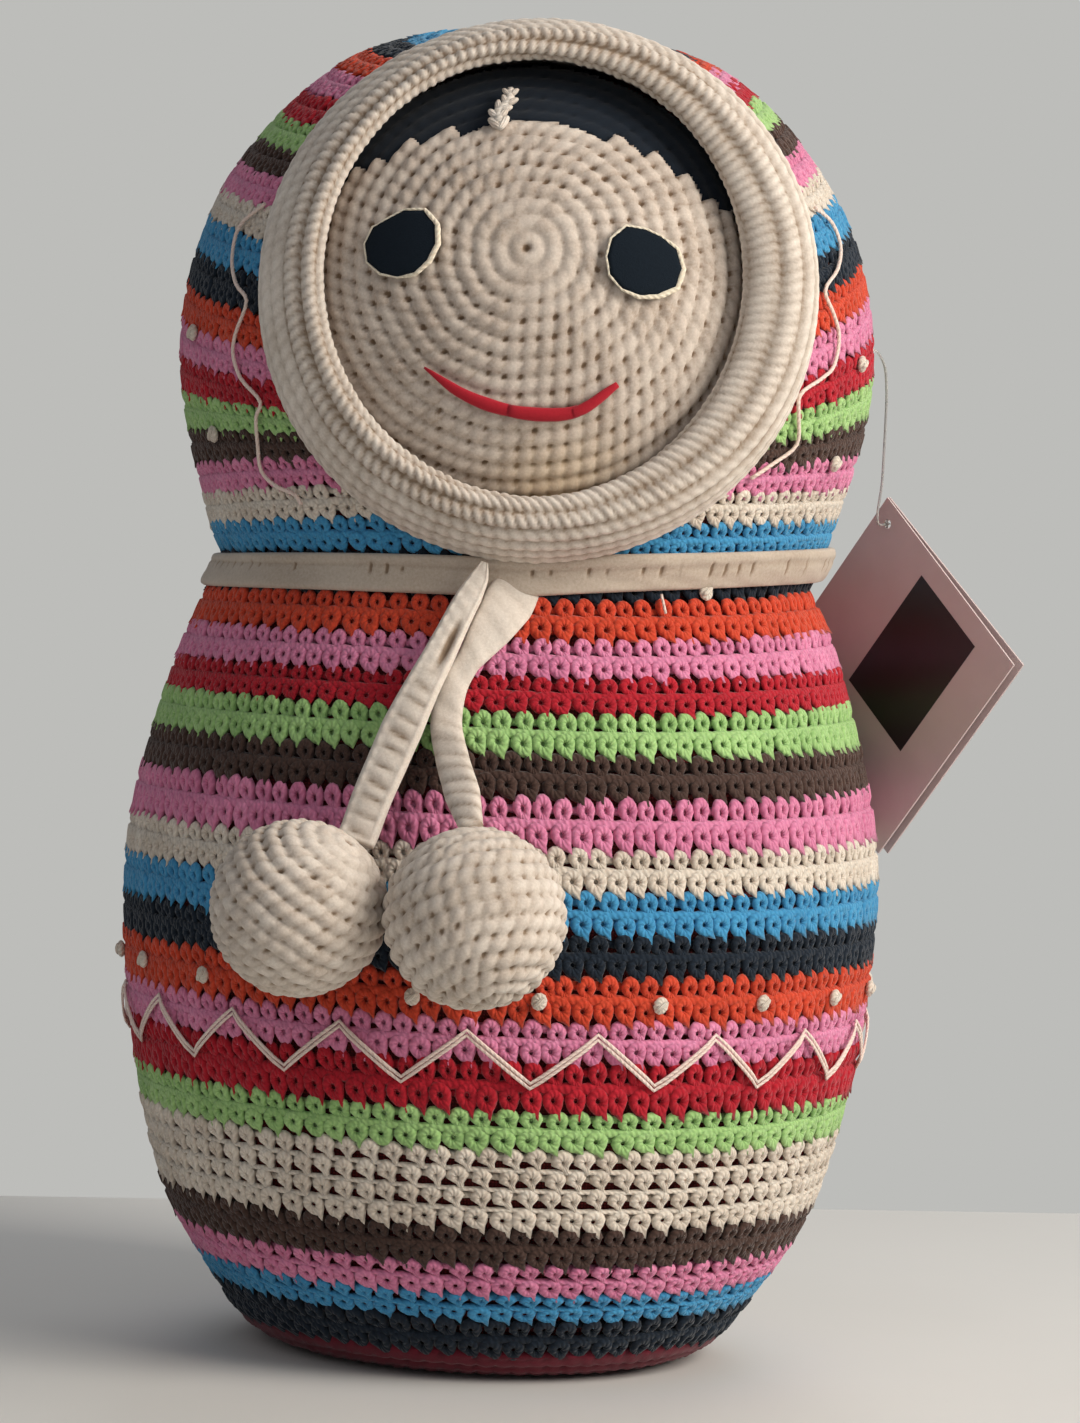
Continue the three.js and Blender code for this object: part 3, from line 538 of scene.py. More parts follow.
def wrapped(rings, shade):
    """Rings of points joined in order, and the last to the first, into one closed body."""
    layers, count = rings.shape[:2]
    i, j = grid(np.arange(layers), np.arange(count))
    i2, j2 = (i + 1) % layers, (j + 1) % count
    quads = np.stack([i * count + j, i * count + j2, i2 * count + j2, i2 * count + j], axis=-1)
    sides = np.stack([j, j + 1, j + 1, j], axis=-1) / count
    heights = np.stack([i, i, i + 1, i + 1], axis=-1) / layers
    own = np.stack([sides, heights], axis=-1).reshape(-1, 2)
    return grid_part(rings.reshape(-1, 3), [quads.reshape(-1, 4)], own, shade.ravel())


def capped(rings, first, last, shade):
    """Rings of points closed round, from a first pole to a last one."""
    layers, count = rings.shape[:2]
    i, j = grid(np.arange(layers - 1), np.arange(count))
    i2, j2 = i + 1, (j + 1) % count
    quads = np.stack([i * count + j, i * count + j2, i2 * count + j2, i2 * count + j], axis=-1)
    sides = np.stack([j, j + 1, j + 1, j], axis=-1) / count
    heights = np.stack([i + 1, i + 1, i + 2, i + 2], axis=-1) / (layers + 1)
    own = [np.stack([sides, heights], axis=-1).reshape(-1, 2)]
    # a fan of triangles closes each end
    at = np.arange(count)
    beside = (at + 1) % count
    top = (layers - 1) * count
    low = np.stack([np.full(count, layers * count), beside, at], axis=1)
    high = np.stack([np.full(count, layers * count + 1), at + top, beside + top], axis=1)
    step = 1 / (layers + 1)
    for one, two, level, edge in ((1, 0, 0, step), (0, 1, 1, -step)):
        sides = np.stack([at + 0.5, at + one, at + two], axis=1) / count
        heights = np.full((count, 3), level) + (0, edge, edge)
        own.append(np.stack([sides, heights], axis=-1).reshape(-1, 2))
    co = np.vstack([rings.reshape(-1, 3), [first, last]])
    shade = np.append(shade.ravel(), [shade[0].mean(), shade[-1].mean()])
    return grid_part(co, [quads.reshape(-1, 4), low, high], np.vstack(own), shade)


def cut_cloth(front, back, chosen, shade):
    """A closed piece of cloth from a grid of places in front and one behind, with only the chosen squares."""
    across, tall = chosen.shape
    number = np.arange((across + 1) * (tall + 1)).reshape(across + 1, tall + 1)
    a, b, c, d = number[:-1, :-1], number[1:, :-1], number[1:, 1:], number[:-1, 1:]
    base = number.size
    faces = [np.stack(f, axis=-1)[chosen] for f in ((a, b, c, d), (a + base, d + base, c + base, b + base))]
    # a wall from front to back along every edge with no chosen square beside it
    beside = np.pad(chosen, 1)
    edges = ((a, b, beside[1:-1, :-2]), (b, c, beside[2:, 1:-1]), (c, d, beside[1:-1, 2:]),
             (d, a, beside[:-2, 1:-1]))
    for one, two, next_to in edges:
        faces.append(np.stack((two, one, one + base, two + base), axis=-1)[chosen & ~next_to])
    used, faces = np.unique(np.concatenate(faces), return_inverse=True)
    square = np.stack(grid(np.linspace(0, 0.98, across + 1), np.linspace(0, 0.98, tall + 1)), axis=-1)
    own = np.vstack([square.reshape(-1, 2), square.reshape(-1, 2) * 0.01 + 0.985])[used][faces.ravel()]
    co = np.vstack([front.reshape(-1, 3), back.reshape(-1, 3)])[used]
    return grid_part(co, [faces.reshape(-1, 4)], own, np.concatenate([shade.ravel(), shade.ravel()])[used])


print("Grids can be wrapped, capped or cut")

# %% Gathering parts into a piece
def piece(name, parts, finish, body, slot, *nodes):
    """Gathers parts into one named object that rides on a body and stands for CAD nodes."""
    lists = {key: [] for key in ("co", "corners", "starts", "yarn", "own", "cell", "shade")}
    made = corners = cells = 0
    for part in parts:
        for key, shift in (("corners", made), ("starts", corners), ("cell", cells)):
            lists[key].append(part[key] + shift)
        for key in ("co", "yarn", "own", "shade"):
            lists[key].append(part[key])
        made += len(part["co"])
        corners += len(part["corners"])
        cells += part["cell"].max() + 1
    whole = {key: np.concatenate(values) for key, values in lists.items()}
    mesh = bpy.data.meshes.new(name)
    mesh.vertices.add(made)
    mesh.vertices.foreach_set("co", (whole["co"] * MM).astype(np.float32).ravel())
    mesh.loops.add(corners)
    mesh.loops.foreach_set("vertex_index", whole["corners"].astype(np.int32))
    mesh.polygons.add(len(whole["starts"]))
    mesh.polygons.foreach_set("loop_start", whole["starts"].astype(np.int32))
    mesh.update(calc_edges=True)
    mesh.uv_layers.new(name="Yarn").data.foreach_set("uv", whole["yarn"].astype(np.float32).ravel())
    across = math.ceil(math.sqrt(cells))
    square = np.stack([whole["cell"] % across, whole["cell"] // across], axis=1)
    atlas = (square + 0.06 + 0.88 * np.clip(whole["own"], 0, 1)) / across
    mesh.uv_layers.new(name="OFBake").data.foreach_set("uv", atlas.astype(np.float32).ravel())
    shade = mesh.attributes.new("shade", "FLOAT", "POINT")
    shade.data.foreach_set("value", whole["shade"].astype(np.float32))
    mesh.shade_smooth()
    mesh.materials.append(finish)
    made_piece = bpy.data.objects.new(name, mesh)
    bpy.context.collection.objects.link(made_piece)
    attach(made_piece, body)
    if nodes:
        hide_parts(*nodes)
    return made_piece


print("Ready to gather pieces")

# %% [markdown]
# The doll's outline is one smooth line from the foot to the crown, through the same stations as the CAD
# model. Heights along the cover are measured on that line, as rows of crochet are. Crochet worked round and
# round pulls askew, so the rounds climb on the right and sag on the left. The hood is leaned forward over
# the face: its rounds dip to the front.

# %% Outline of the cover
def smooth_line(stations, steps=40):
    """A smooth curve through stations, with steps points to a span. It is a Catmull-Rom curve whose spans are
    timed by the root of their length, so it makes no loops where stations lie close."""
    p = np.asarray(stations, float)
    p = np.vstack([2 * p[0] - p[1], p, 2 * p[-1] - p[-2]])
    line = []
    for a, b, c, d in zip(p[:-3], p[1:-2], p[2:-1], p[3:]):
        t0 = 0.0
        t1 = t0 + np.linalg.norm(b - a) ** 0.5
        t2 = t1 + np.linalg.norm(c - b) ** 0.5
        t3 = t2 + np.linalg.norm(d - c) ** 0.5
        t = np.linspace(t1, t2, steps, endpoint=False)[:, None]
        ab = (t1 - t) / (t1 - t0) * a + (t - t0) / (t1 - t0) * b
        bc = (t2 - t) / (t2 - t1) * b + (t - t1) / (t2 - t1) * c
        cd = (t3 - t) / (t3 - t2) * c + (t - t2) / (t3 - t2) * d
        abc = (t2 - t) / (t2 - t0) * ab + (t - t0) / (t2 - t0) * bc
        bcd = (t3 - t) / (t3 - t1) * bc + (t - t1) / (t3 - t1) * cd
        line.append((t2 - t) / (t2 - t1) * abc + (t - t1) / (t2 - t1) * bcd)
    return np.vstack([*line, p[-2:-1]])


HOOD_RADIUS, HOOD_HEIGHT = 89.3, 254
NECK, STRAP_WIDTH = 199.0, 10.4
OUTLINE = smooth_line([(63.7, 6.4), (85.3, 42.5), (97.2, 121), (88.2, 168.58), (80.4, 190.16), (76.2, NECK),
                       (79.4, 207.84), (HOOD_RADIUS, HOOD_HEIGHT), (79.8, 294.95), (51.5, 327.36),
                       (27, 336.51), (0, 339.5)])
RUN = lengths_along(OUTLINE)
SLOPE = unit(np.gradient(OUTLINE, axis=0))


def run_at(height):
    """How far up the outline a height lies."""
    return float(np.interp(height, OUTLINE[:, 1], RUN))


def on_cover(run, turn, depth=0.0):
    """Places and directions on the cover: run is measured up the outline and turn round it from the front."""
    turn = np.atleast_1d(np.asarray(turn, float))
    r, z = (np.interp(run, RUN, OUTLINE[:, k]) for k in (0, 1))
    sr, sz = np.moveaxis(unit(np.stack([np.interp(run, RUN, SLOPE[:, k]) for k in (0, 1)], axis=-1)), -1, 0)
    s, c = np.sin(turn), np.cos(turn)
    zero = np.zeros_like(s)
    right = np.stack([c, s, zero], axis=1)
    up = np.stack([sr * s, -sr * c, zero + sz], axis=1)
    out = np.stack([sz * s, -sz * c, zero - sr], axis=1)
    return np.stack([r * s, -r * c, zero + z], axis=1) - depth * out, right, up, out


# how far the rounds are pulled up on the right and on the left at some heights
ASKEW_AT = (60, 120, 150, 185, 199, 212, 225, 235, 245, 255, 290, 320, 340)
RIGHT_UP = (0, 1, 2.5, 5, 4.3, 4.5, 5, 7.5, 9.5, 12, 14, 11, 0)
LEFT_UP = (0, 0, 0, -1.2, -2.6, -4.6, -6, -5.5, -3.5, -1.5, 0, -3.5, 0)


def askew(run, turn):
    """Where a round really runs: higher on the right and, from the neck up, lower on the left."""
    height = np.interp(run, RUN, OUTLINE[:, 1])
    return (run + np.interp(height, ASKEW_AT, RIGHT_UP) * np.clip(np.sin(turn), 0, 1) ** 2
            + np.interp(height, ASKEW_AT, LEFT_UP) * np.clip(-np.sin(turn), 0, 1) ** 2)


# the lean begins at one height and is full at another
LEAN_FROM, LEAN_FULL = 215, 265
LEAN_ANGLE = math.radians(11)


def lean(p):
    """Leans places of the hood towards the face, about its widest height."""
    rise = np.clip((p[..., 2] - LEAN_FROM) / (LEAN_FULL - LEAN_FROM), 0, 1)
    turn = LEAN_ANGLE * rise * rise * (3 - 2 * rise)
    y, z = p[..., 1], p[..., 2] - HOOD_HEIGHT
    return np.stack([
        p[..., 0],
        y * np.cos(turn) - z * np.sin(turn),
        HOOD_HEIGHT + y * np.sin(turn) + z * np.cos(turn),
    ], axis=-1)


def leaned(origin, *ways):
    """Leans places together with their directions."""
    moved = lean(origin)
    return (moved, *(unit(lean(origin + 0.1 * way) - moved) for way in ways))


print("Outline runs", round(RUN[-1], 1), "mm")

# %% [markdown]
# The two hanging ends of the neck strap are soft crocheted tapes, and each ends in a ball. They are 10 mm
# wide, 75 and 80 mm long, limp, and lie over each other from the knot at the throat. A flat oval is drawn
# along the route, wide or narrow where the tape lies open or folded, and its front is raised and sunk as the
# stitches are: the left one is folded at first, with a slit, and then open, with rungs. The right one is
# nearly plain.

# %% Hanging ends
def in_front(side, drop, lift):
    """A place in front of the cover: to a side, below the neck, and off the cover."""
    reach = np.interp(NECK - drop, OUTLINE[:, 1], OUTLINE[:, 0]) + lift
    return np.array([side, -math.sqrt(reach ** 2 - side ** 2), NECK - drop])


LEFT_ROUTE = smooth_line([in_front(*p) for p in (
    (-7.2, -3.4, 6.2), (-8.2, 0, 7.6), (-12.4, 9, 6.7), (-16.6, 18.5, 6.3), (-20.8, 27.5, 6.8),
    (-24.6, 36.5, 7.6), (-28, 45.5, 8.2), (-31, 53.5, 9.2), (-33.4, 61.4, 10.9), (-34.4, 64, 12))], 8)
RIGHT_ROUTE = smooth_line([in_front(*p) for p in (
    (2.4, -2.5, -0.4), (1.6, 1, 0.1), (-0.4, 5, 1.5), (-3.2, 10, 2.8), (-8, 17.5, 2.4), (-13, 26, 1.9),
    (-14.4, 35, 2.3), (-12.4, 43.5, 5.4), (-9.8, 50.4, 11.4), (-7.4, 56.9, 18.2), (-6.8, 58.6, 20))], 8)


def folded_then_open(share, at, x):
    """Relief of the left end: a slit where its fold gapes, and further down rungs beside a raised edge. share
    and at tell how far along it is, and x goes from -1 to 1 across."""
    open_here = np.clip((share - 0.36) / 0.14, 0, 1)
    slit = np.exp(-((x + 0.3) / 0.2) ** 2) * np.sin(math.pi * np.clip((share - 0.17) / 0.26, 0, 1)) ** 2
    rung = np.abs(np.sin(math.pi * at / 4.3 + 0.5 * x + 0.3 * np.sin(at))) ** 0.4
    middle = np.exp(-((x + 0.08) / 0.6) ** 4) * open_here
    edge = np.exp(-((x - 0.78) / 0.16) ** 2) * (0.7 + 0.4 * np.sin(2 * math.pi * at / 3.3))
    rim = np.exp(-((x + 0.85) / 0.16) ** 2) * 0.6
    lumps = 0.2 * np.sin(at * 1.7) * np.cos(3 * x)
    rise = 0.6 * edge + rim - 1.6 * slit + (0.9 * rung - 0.5) * middle + lumps * (1 - open_here)
    # painted shade: the slit and the gaps between the rungs are darker
    return rise, 0.1 + 1.8 * slit + 1.3 * (1 - rung) * middle


def soft_and_plain(share, at, x):
    """Relief of the right end: soft folds and faint stitches, with knobs towards the ball."""
    knob = np.abs(np.sin(math.pi * at / 4.6 + 1.3 * x)) ** 0.6
    low = np.clip((share - 0.5) / 0.3, 0, 1)
    rise = (0.15 + 0.45 * low) * knob + 0.2 * np.sin(at * 0.55 + 2 * x)
    # painted shade: darker between the knobs, more so towards the ball
    return rise, 0.1 + (0.2 + 0.6 * low) * (1 - knob)


# points along a tape and round it
SECTIONS, SIDES = 110, 44


def hanging_end(name, route, wide, thick, relief, node, body):
    """A soft tape along a route; wide and thick are half sizes by share of its length."""
    run = lengths_along(route)
    at = np.linspace(0, run[-1], SECTIONS)
    spot = np.stack([np.interp(at, run, route[:, k]) for k in range(3)], axis=1)
    ahead = unit(np.gradient(spot, axis=0))
    across = unit(np.cross(ahead, unit(spot * (1, 1, 0))))
    face = np.cross(across, ahead)
    share, around = grid(at / run[-1], -np.arange(SIDES) * 2 * math.pi / SIDES)
    x, y = (np.sign(f(around)) * np.abs(f(around)) ** 0.8 for f in (np.cos, np.sin))
    rise, shade = relief(share, share * run[-1], x)
    rise = rise * np.clip(np.sin(around), 0, 1) ** 0.5
    rings = (spot[:, None] + across[:, None] * (x * np.interp(share, *wide))[..., None]
             + face[:, None] * (y * np.interp(share, *thick) + rise)[..., None])
    tape = capped(rings, spot[0], spot[-1], shade)
    cord = piece(name, [tape], YARN["pale"], body, "yarn_cream", node)
    print(name, "is", round(run[-1], 1), "mm long")


hanging_end("left_hanging_end", LEFT_ROUTE,
            ((0, 0.05, 0.12, 0.25, 0.45, 0.6, 1), (0.9, 2.3, 3.1, 3.5, 4.3, 5.1, 4.9)),
            ((0, 0.1, 0.45, 0.6, 1), (0.9, 2.0, 1.9, 1.6, 1.6)),
            folded_then_open, "tie_left", "left_tie")
hanging_end("right_hanging_end", RIGHT_ROUTE,
            ((0, 0.03, 0.07, 0.14, 0.25, 0.36, 0.5, 0.85, 1), (1.5, 4.2, 5.8, 6.2, 5.0, 3.1, 3.7, 4.3, 2.8)),
            ((0, 0.05, 0.25, 0.36, 1), (0.6, 1.3, 1.4, 1.9, 1.9)),
            soft_and_plain, "tie_right", "right_tie")

# %% [markdown]
# The swing tag hangs by a nylon thread from the hood, down to a hole in its top corner. The thread is thin,
# clear and a little stiff, so it stands off the hood in a bow before it drops.

# %% Nylon thread
# the tag's own frame: its top corner, the directions along two edges, and the one out of its front
TAG_CORNER = np.array([96.84, 29.17, 223.7])
TAG_X = np.array([0.500, -0.569, -0.652])
TAG_Y = np.array([0.430, -0.490, 0.758])
TAG_Z = -np.array([0.7513, 0.660, 0])
HOLE = (5, -5)


def on_tag(x, y, z):
    """A place in the tag's frame."""
    return TAG_CORNER + x * TAG_X + y * TAG_Y + z * TAG_Z


# the bow stands in one plane: how far off the hood it is, and how far above the hood's widest height
THREAD_TURN = math.radians(15.7)
BOW = ((0.8, 7.5), (5.2, 8), (7.9, 4.6), (9, -2), (9.2, -10), (9.2, -18), (9.1, -26.5))
bow = []
for off, rise in BOW:
    reach = HOOD_RADIUS + off
    bow.append((reach * math.cos(THREAD_TURN), reach * math.sin(THREAD_TURN), HOOD_HEIGHT + rise))
thread_route = smooth_line([*bow, *(on_tag(*HOLE, out) for out in (4, 0.5, -2.3))], 5)

# drawn nylon: clear, smooth and glossy, it mostly shows as a pale glint
nylon, tree = bare_material("drawn_nylon")
tone = blend(tree, noise(tree, 400, 2), linear("#EDEBE8"), linear("#D2CFCB"))
surface(tree, tone, {"Roughness": 0.25, "IOR": 1.53, "Transmission Weight": 0.7})

parts = [drawn(thread_route, 0.36, 8)]
for way in (-1, 1):
    slant, beside = unit(TAG_X + way * TAG_Y), unit(TAG_Y - way * TAG_X)
    parts.append(sew(strand, on_tag(*HOLE, 0.9), slant, beside, TAG_Z, 0.6, 0.0))
tag_thread = piece("tag_nylon_thread", parts, nylon, "tag", "nylon", "tag_thread")

# %% [markdown]
# The cover is worked in rounds, two to a stripe and four to the wide cream one. Every round is a ring of
# open stitches over one strand of the same yarn, which is the yarn that runs from stitch to stitch behind
# them. Each round starts a little further on than the one below it, and hands are uneven, so each stitch is
# moved, turned and sized a little.

# %% Rounds of the cover
# the height and the width that a stitch fills at the size it was modelled
STITCH_TALL, STITCH_WIDE = 5.1, 5.25


def stretches(kept):
    """The places in a closed line that are kept, as one list of numbers for each unbroken stretch."""
    order = np.roll(np.arange(len(kept)), -int(np.argmin(kept)))
    breaks = np.flatnonzero(np.diff(kept[order].astype(int)))
    return [few for few in np.split(order, breaks + 1) if kept[few].all() and len(few) > 2]


def rounds(low, high, count, pitch, on_hood=False, keep=None,
           first=spiking_stitch, others=diving_stitch, band=0.25):
    """The stitches and running strands of some rounds between two heights of the outline. The lowest round is
    of the first stitch, and the rounds over it are of the other one. A soft band lies where they meet, and
    band is its half height as a share of a round. keep tells which places are worked."""
    parts = []
    height = (high - low) / count
    start_turn = rng.random()

    def ring(run, depth, thick, tall, number):
        """A flat strand once round the cover, with three points to a stitch."""
        turn = full_turn(3 * number)
        place, _, up, _ = on_cover(askew(run, turn), turn, depth)
        if on_hood:
            place, up = leaned(place, up)
        girth = 1 + 0.16 * np.cos(2 * math.pi * (np.arange(3 * number) / 3 + 0.2))
        kept = np.ones(len(place), bool) if keep is None else keep(place)
        if kept.all():
            parts.append(drawn(place, girth, 6, closed=True, flat=(up, tall, thick)))
            return
        for few in stretches(kept):
            parts.append(drawn(place[few], girth[few], 6, flat=(up[few], tall, thick)))

    for k in range(count):
        run = low + (k + 0.5) * height
        radius = np.interp(run, RUN, OUTLINE[:, 0])
        number = 6 * max(1, round(2 * math.pi * radius / pitch / 6))
        uneven = rng.normal(0, 0.05, number)
        turn = (np.arange(number) + start_turn + 0.15 * k + uneven) * 2 * math.pi / number
        origin, right, up, out = on_cover(askew(run + 0.05 * height, turn), turn, 0.9)
        tip = np.radians(rng.normal(11, 6, number))[:, None]
        right, up = right * np.cos(tip) + up * np.sin(tip), up * np.cos(tip) - right * np.sin(tip)
        origin = origin + up * rng.normal(0, 0.2, (number, 1)) + out * rng.normal(0, 0.12, (number, 1))
        if on_hood:
            origin, right, up, out = leaned(origin, right, up, out)
        size = height / STITCH_TALL * rng.uniform(0.95, 1.07, number)
        wide = 2 * math.pi * radius / number / STITCH_WIDE / (height / STITCH_TALL) * (0.97 if k else 1.1)
        chosen = np.ones(number, bool) if keep is None else keep(origin)
        if chosen.any():
            parts.append(sew(others if k else first, origin[chosen], right[chosen] * wide, up[chosen],
                             out[chosen], size[chosen]))
        ring(run + 0.1 * height, 2.6, 1.0, 1.1, number)
        if k:
            ring(low + k * height, 1.25, 0.95, band * height, number)
    return parts


# yarn and height of each stripe, from the foot up; together they are stretched to fill the outline
BODY_STRIPES = [
    ("navy", 12.5), ("blue", 8.5), ("pink", 9.5), ("brown", 10.5), ("cream", 20.5), ("green", 9.8),
    ("red", 12.2), ("pink", 10), ("orange", 11), ("navy", 10), ("blue", 10), ("cream", 10.2), ("pink", 12.2),
    ("brown", 10.3), ("green", 10.4), ("red", 8.6), ("pink", 9.7), ("orange", 10.4), ("navy", 10.6)]
STRAP_TOP = run_at(NECK + STRAP_WIDTH / 2)
stretch = STRAP_TOP / sum(height for _, height in BODY_STRIPES)
low = 0.0
for i, (yarn, height) in enumerate(BODY_STRIPES):
    high = low + height * stretch
    # three of the low stripes are looser, with posts that stand apart, and the foot of the cover has no tips
    loose = {"others": post_stitch, "band": 0.13} if i in (1, 2, 4) else {}
    parts = rounds(low, high, 4 if height > 15 else 2, 5.9 if i < 6 else 5.3,
                   first=spiking_stitch if i else diving_stitch, **loose)
    piece(f"cover_{i + 1:02d}_{yarn}", parts, YARN[yarn], "doll", f"yarn_{yarn}",
          f"body_stripe_{i + 1:02d}_{yarn}")
    low = high
print("Body rounds up to", round(low, 1), "mm along the outline")

# %% [markdown]
# The face looks a little up. Its own frame has u to the right, v up and w out of the face, and the features
# are turned slightly, as they are on the sewn one. The hood's rounds stop where the rolled brim covers their
# ends.

# %% Face frame
FACE_MIDDLE = np.array([0, 0, 258.5])
TILT, ROLL = math.radians(8), math.radians(-2.4)
FACE_U = np.array([1.0, 0, 0])
FACE_V = np.array([0, math.sin(TILT), math.cos(TILT)])
FACE_W = np.array([0, -math.cos(TILT), math.sin(TILT)])
# the radius of the face's dome and the middle of its sphere
DOME = 76.0
DOME_MIDDLE = FACE_MIDDLE + 21.0 * FACE_W
# the brim sits a little to the right of the face's middle
BRIM_ASIDE = 2


def to_face(p):
    """u, v and w of places in the face's frame."""
    return (p - FACE_MIDDLE) @ np.stack([FACE_U, FACE_V, FACE_W], axis=1)


def on_dome(u, v, lift=0.0):
    """Places on the face's dome with its outward directions; u and v are turned with the features."""
    u, v = np.broadcast_arrays(np.atleast_1d(np.asarray(u, float)), np.asarray(v, float))
    x, y = u * math.cos(ROLL) - v * math.sin(ROLL), u * math.sin(ROLL) + v * math.cos(ROLL)
    w = np.sqrt(DOME ** 2 - x ** 2 - y ** 2)
    out = unit(x[:, None] * FACE_U + y[:, None] * FACE_V + w[:, None] * FACE_W)
    return DOME_MIDDLE + out * (DOME + lift), out


def outside_brim(p):
    """True where a place of the hood isn't under the brim or the face."""
    u, v, w = np.moveaxis(to_face(p), -1, 0)
    return (w < 20) | (np.hypot(u - BRIM_ASIDE, v) > 62.5)


print("The middle of the face is at", np.round(on_dome(0, 0)[0][0], 1), "mm")

# %% Rounds of the hood
HOOD_STRIPES = ["blue", "cream", "pink", "brown", "green", "red", "pink", "orange", "navy", "blue", "cream",
                "pink", "brown", "green", "red", "pink", "orange"]
HOOD_STRIPE = 8.7
low = STRAP_TOP
for i, yarn in enumerate(HOOD_STRIPES):
    parts = rounds(low, low + HOOD_STRIPE, 2, 5.2, True, outside_brim)
    piece(f"hood_{i + 1:02d}_{yarn}", parts, YARN[yarn], "doll", f"yarn_{yarn}",
          f"hood_stripe_{i + 1:02d}_{yarn}")
    low += HOOD_STRIPE
parts = rounds(low, low + HOOD_STRIPE, 2, 5.2, True)
piece("hood_18_navy", parts, YARN["navy"], "doll", "yarn_navy", "hood_crown")
low += HOOD_STRIPE
parts = rounds(low, RUN[-1] - 1.5, max(1, round((RUN[-1] - low) / 4.4)), 5.0, True)
piece("hood_cap", parts, YARN["blue"], "doll", "yarn_blue", "hood_crown")
print("Hood rounds done at", round(low, 1), "mm of", round(RUN[-1], 1))

# %% [markdown]
# Under the crochet is a stuffed cotton bag, dark red, and it shows through every gap between stitches. It
# is spun from the outline, set in under the cover, and filled with lumpy fibre. Plain cotton weave has
# threads of about 0.5 mm; here they are drawn at 0.8 mm so that they show in the gaps.

# %% Red cotton bags and fibre fill
# plain cotton weave: two crossing sets of threads that catch the light in turn
bag_cotton, tree = bare_material("woven_cotton_red")
place = add(tree, "ShaderNodeTexCoord")
threads = {"Vector": place.outputs["Object"], "Scale": 390, "Distortion": 1.0}
warp, weft = (add(tree, "ShaderNodeTexWave", {"bands_direction": way}, threads) for way in ("Z", "X"))
crossed = add(tree, "ShaderNodeMath", {"operation": "MULTIPLY"},
              {0: warp.outputs["Fac"], 1: weft.outputs["Fac"]})
weave = crossed.outputs[0]
tone = blend(tree, weave, linear("#511212"), linear("#8E2A2A"))
surface(tree, tone, {"Roughness": 0.9}, (weave, 0.4, 0.0004))

# carded fibre: white, matt and matted into tufts of some millimetres
fill_fibre, tree = bare_material("carded_fibre_white")
tuft = noise(tree, 220, 6, Distortion=1.5)
tone = blend(tree, tuft, linear("#D9D6CF"), linear("#F5F3EE"))
surface(tree, tone, {"Roughness": 0.95}, (tuft, 0.8, 0.002))


def inset(run_low, run_high, depth, step=6.0):
    """A profile of the outline, set in by a depth."""
    runs = np.linspace(run_low, run_high, max(3, round((run_high - run_low) / step)))
    r, z = (np.interp(runs, RUN, OUTLINE[:, k]) for k in (0, 1))
    sr, sz = (np.interp(runs, RUN, SLOPE[:, k]) for k in (0, 1))
    return [(max(a, 0.0), b) for a, b in zip(r - depth * sz, z + depth * sr)]


def lumpy(body, height):
    """Pushes a fill in and out in soft lumps."""
    co = body["co"]
    wave = np.sin(co[:, 0] / 9 + 1) * np.sin(co[:, 1] / 11 + 2) * np.sin(co[:, 2] / 10)
    body["co"] = co + unit(co - co.mean(axis=0)) * (wave[:, None] - 1) * height
    return body


def bag_wall(run_low, run_high):
    """A profile up the outside of the bag and back down its inside, a millimetre apart."""
    return [*inset(run_low, run_high, 3.4), *inset(run_low, run_high, 4.4)[::-1]]


neck_run = run_at(NECK)
body_bag = spun([(0, 4.2), (42, 4.2), *bag_wall(2, neck_run - 0.6), (42, 5.2), (0, 5.2)], 64)
piece("body_bag", [laid(body_bag, 0.1)], bag_cotton, "doll", "cotton_red", "body_lining")
head_bag = spun(bag_wall(neck_run + 0.6, RUN[-1]), 64, True)
head_bag["co"] = lean(head_bag["co"])
piece("head_bag", [laid(head_bag, 0.1)], bag_cotton, "doll", "cotton_red", "head_lining")
body_fill = lumpy(spun([(0, 6.5), (40, 6.5), *inset(4, neck_run - 1, 5.2), (0, NECK - 1.5)], 48), 1.2)
stuffed = piece("body_fill", [laid(body_fill)], fill_fibre, "doll", "fibre_white", "body_stuffing")
head_fill = spun([(0, NECK + 1.5), *inset(neck_run + 1.5, RUN[-1], 5.2)], 48)
head_fill["co"] = lean(head_fill["co"])
head_fill = lumpy(head_fill, 1.2)
stuffed = piece("head_fill", [laid(head_fill)], fill_fibre, "doll", "fibre_white", "head_stuffing")
print("Bags of", len(body_bag["co"]), "and", len(head_bag["co"]), "points, with fills")

# %% [markdown]
# The face, the base and the balls are close crochet, in which single stitches hardly show. What shows is a
# ridge to each round, a soft bump to each stitch, and a small pit where four stitches meet. So the surface is
# one fine mesh, and every point of it is raised by where it lies in its round and in its stitch, as in
# sculpting. The pits and the grooves between rounds and stitches are painted darker too: painted shade.

# %% Close crochet as relief
def own_number(row, stitch, second=False):
    """A number from 0 to 1 for each stitch, scattered but always the same. There are two of them."""
    by_row, by_stitch, stretch = (39.425, 11.135, 24634.6345) if second else (12.9898, 78.233, 43758.5453)
    return np.sin(row * by_row + stitch * by_stitch) * stretch % 1


def stitches_round(radius, pitch):
    """How many stitches fit round a radius, six at least."""
    return np.maximum(6, np.round(2 * math.pi * radius / pitch))


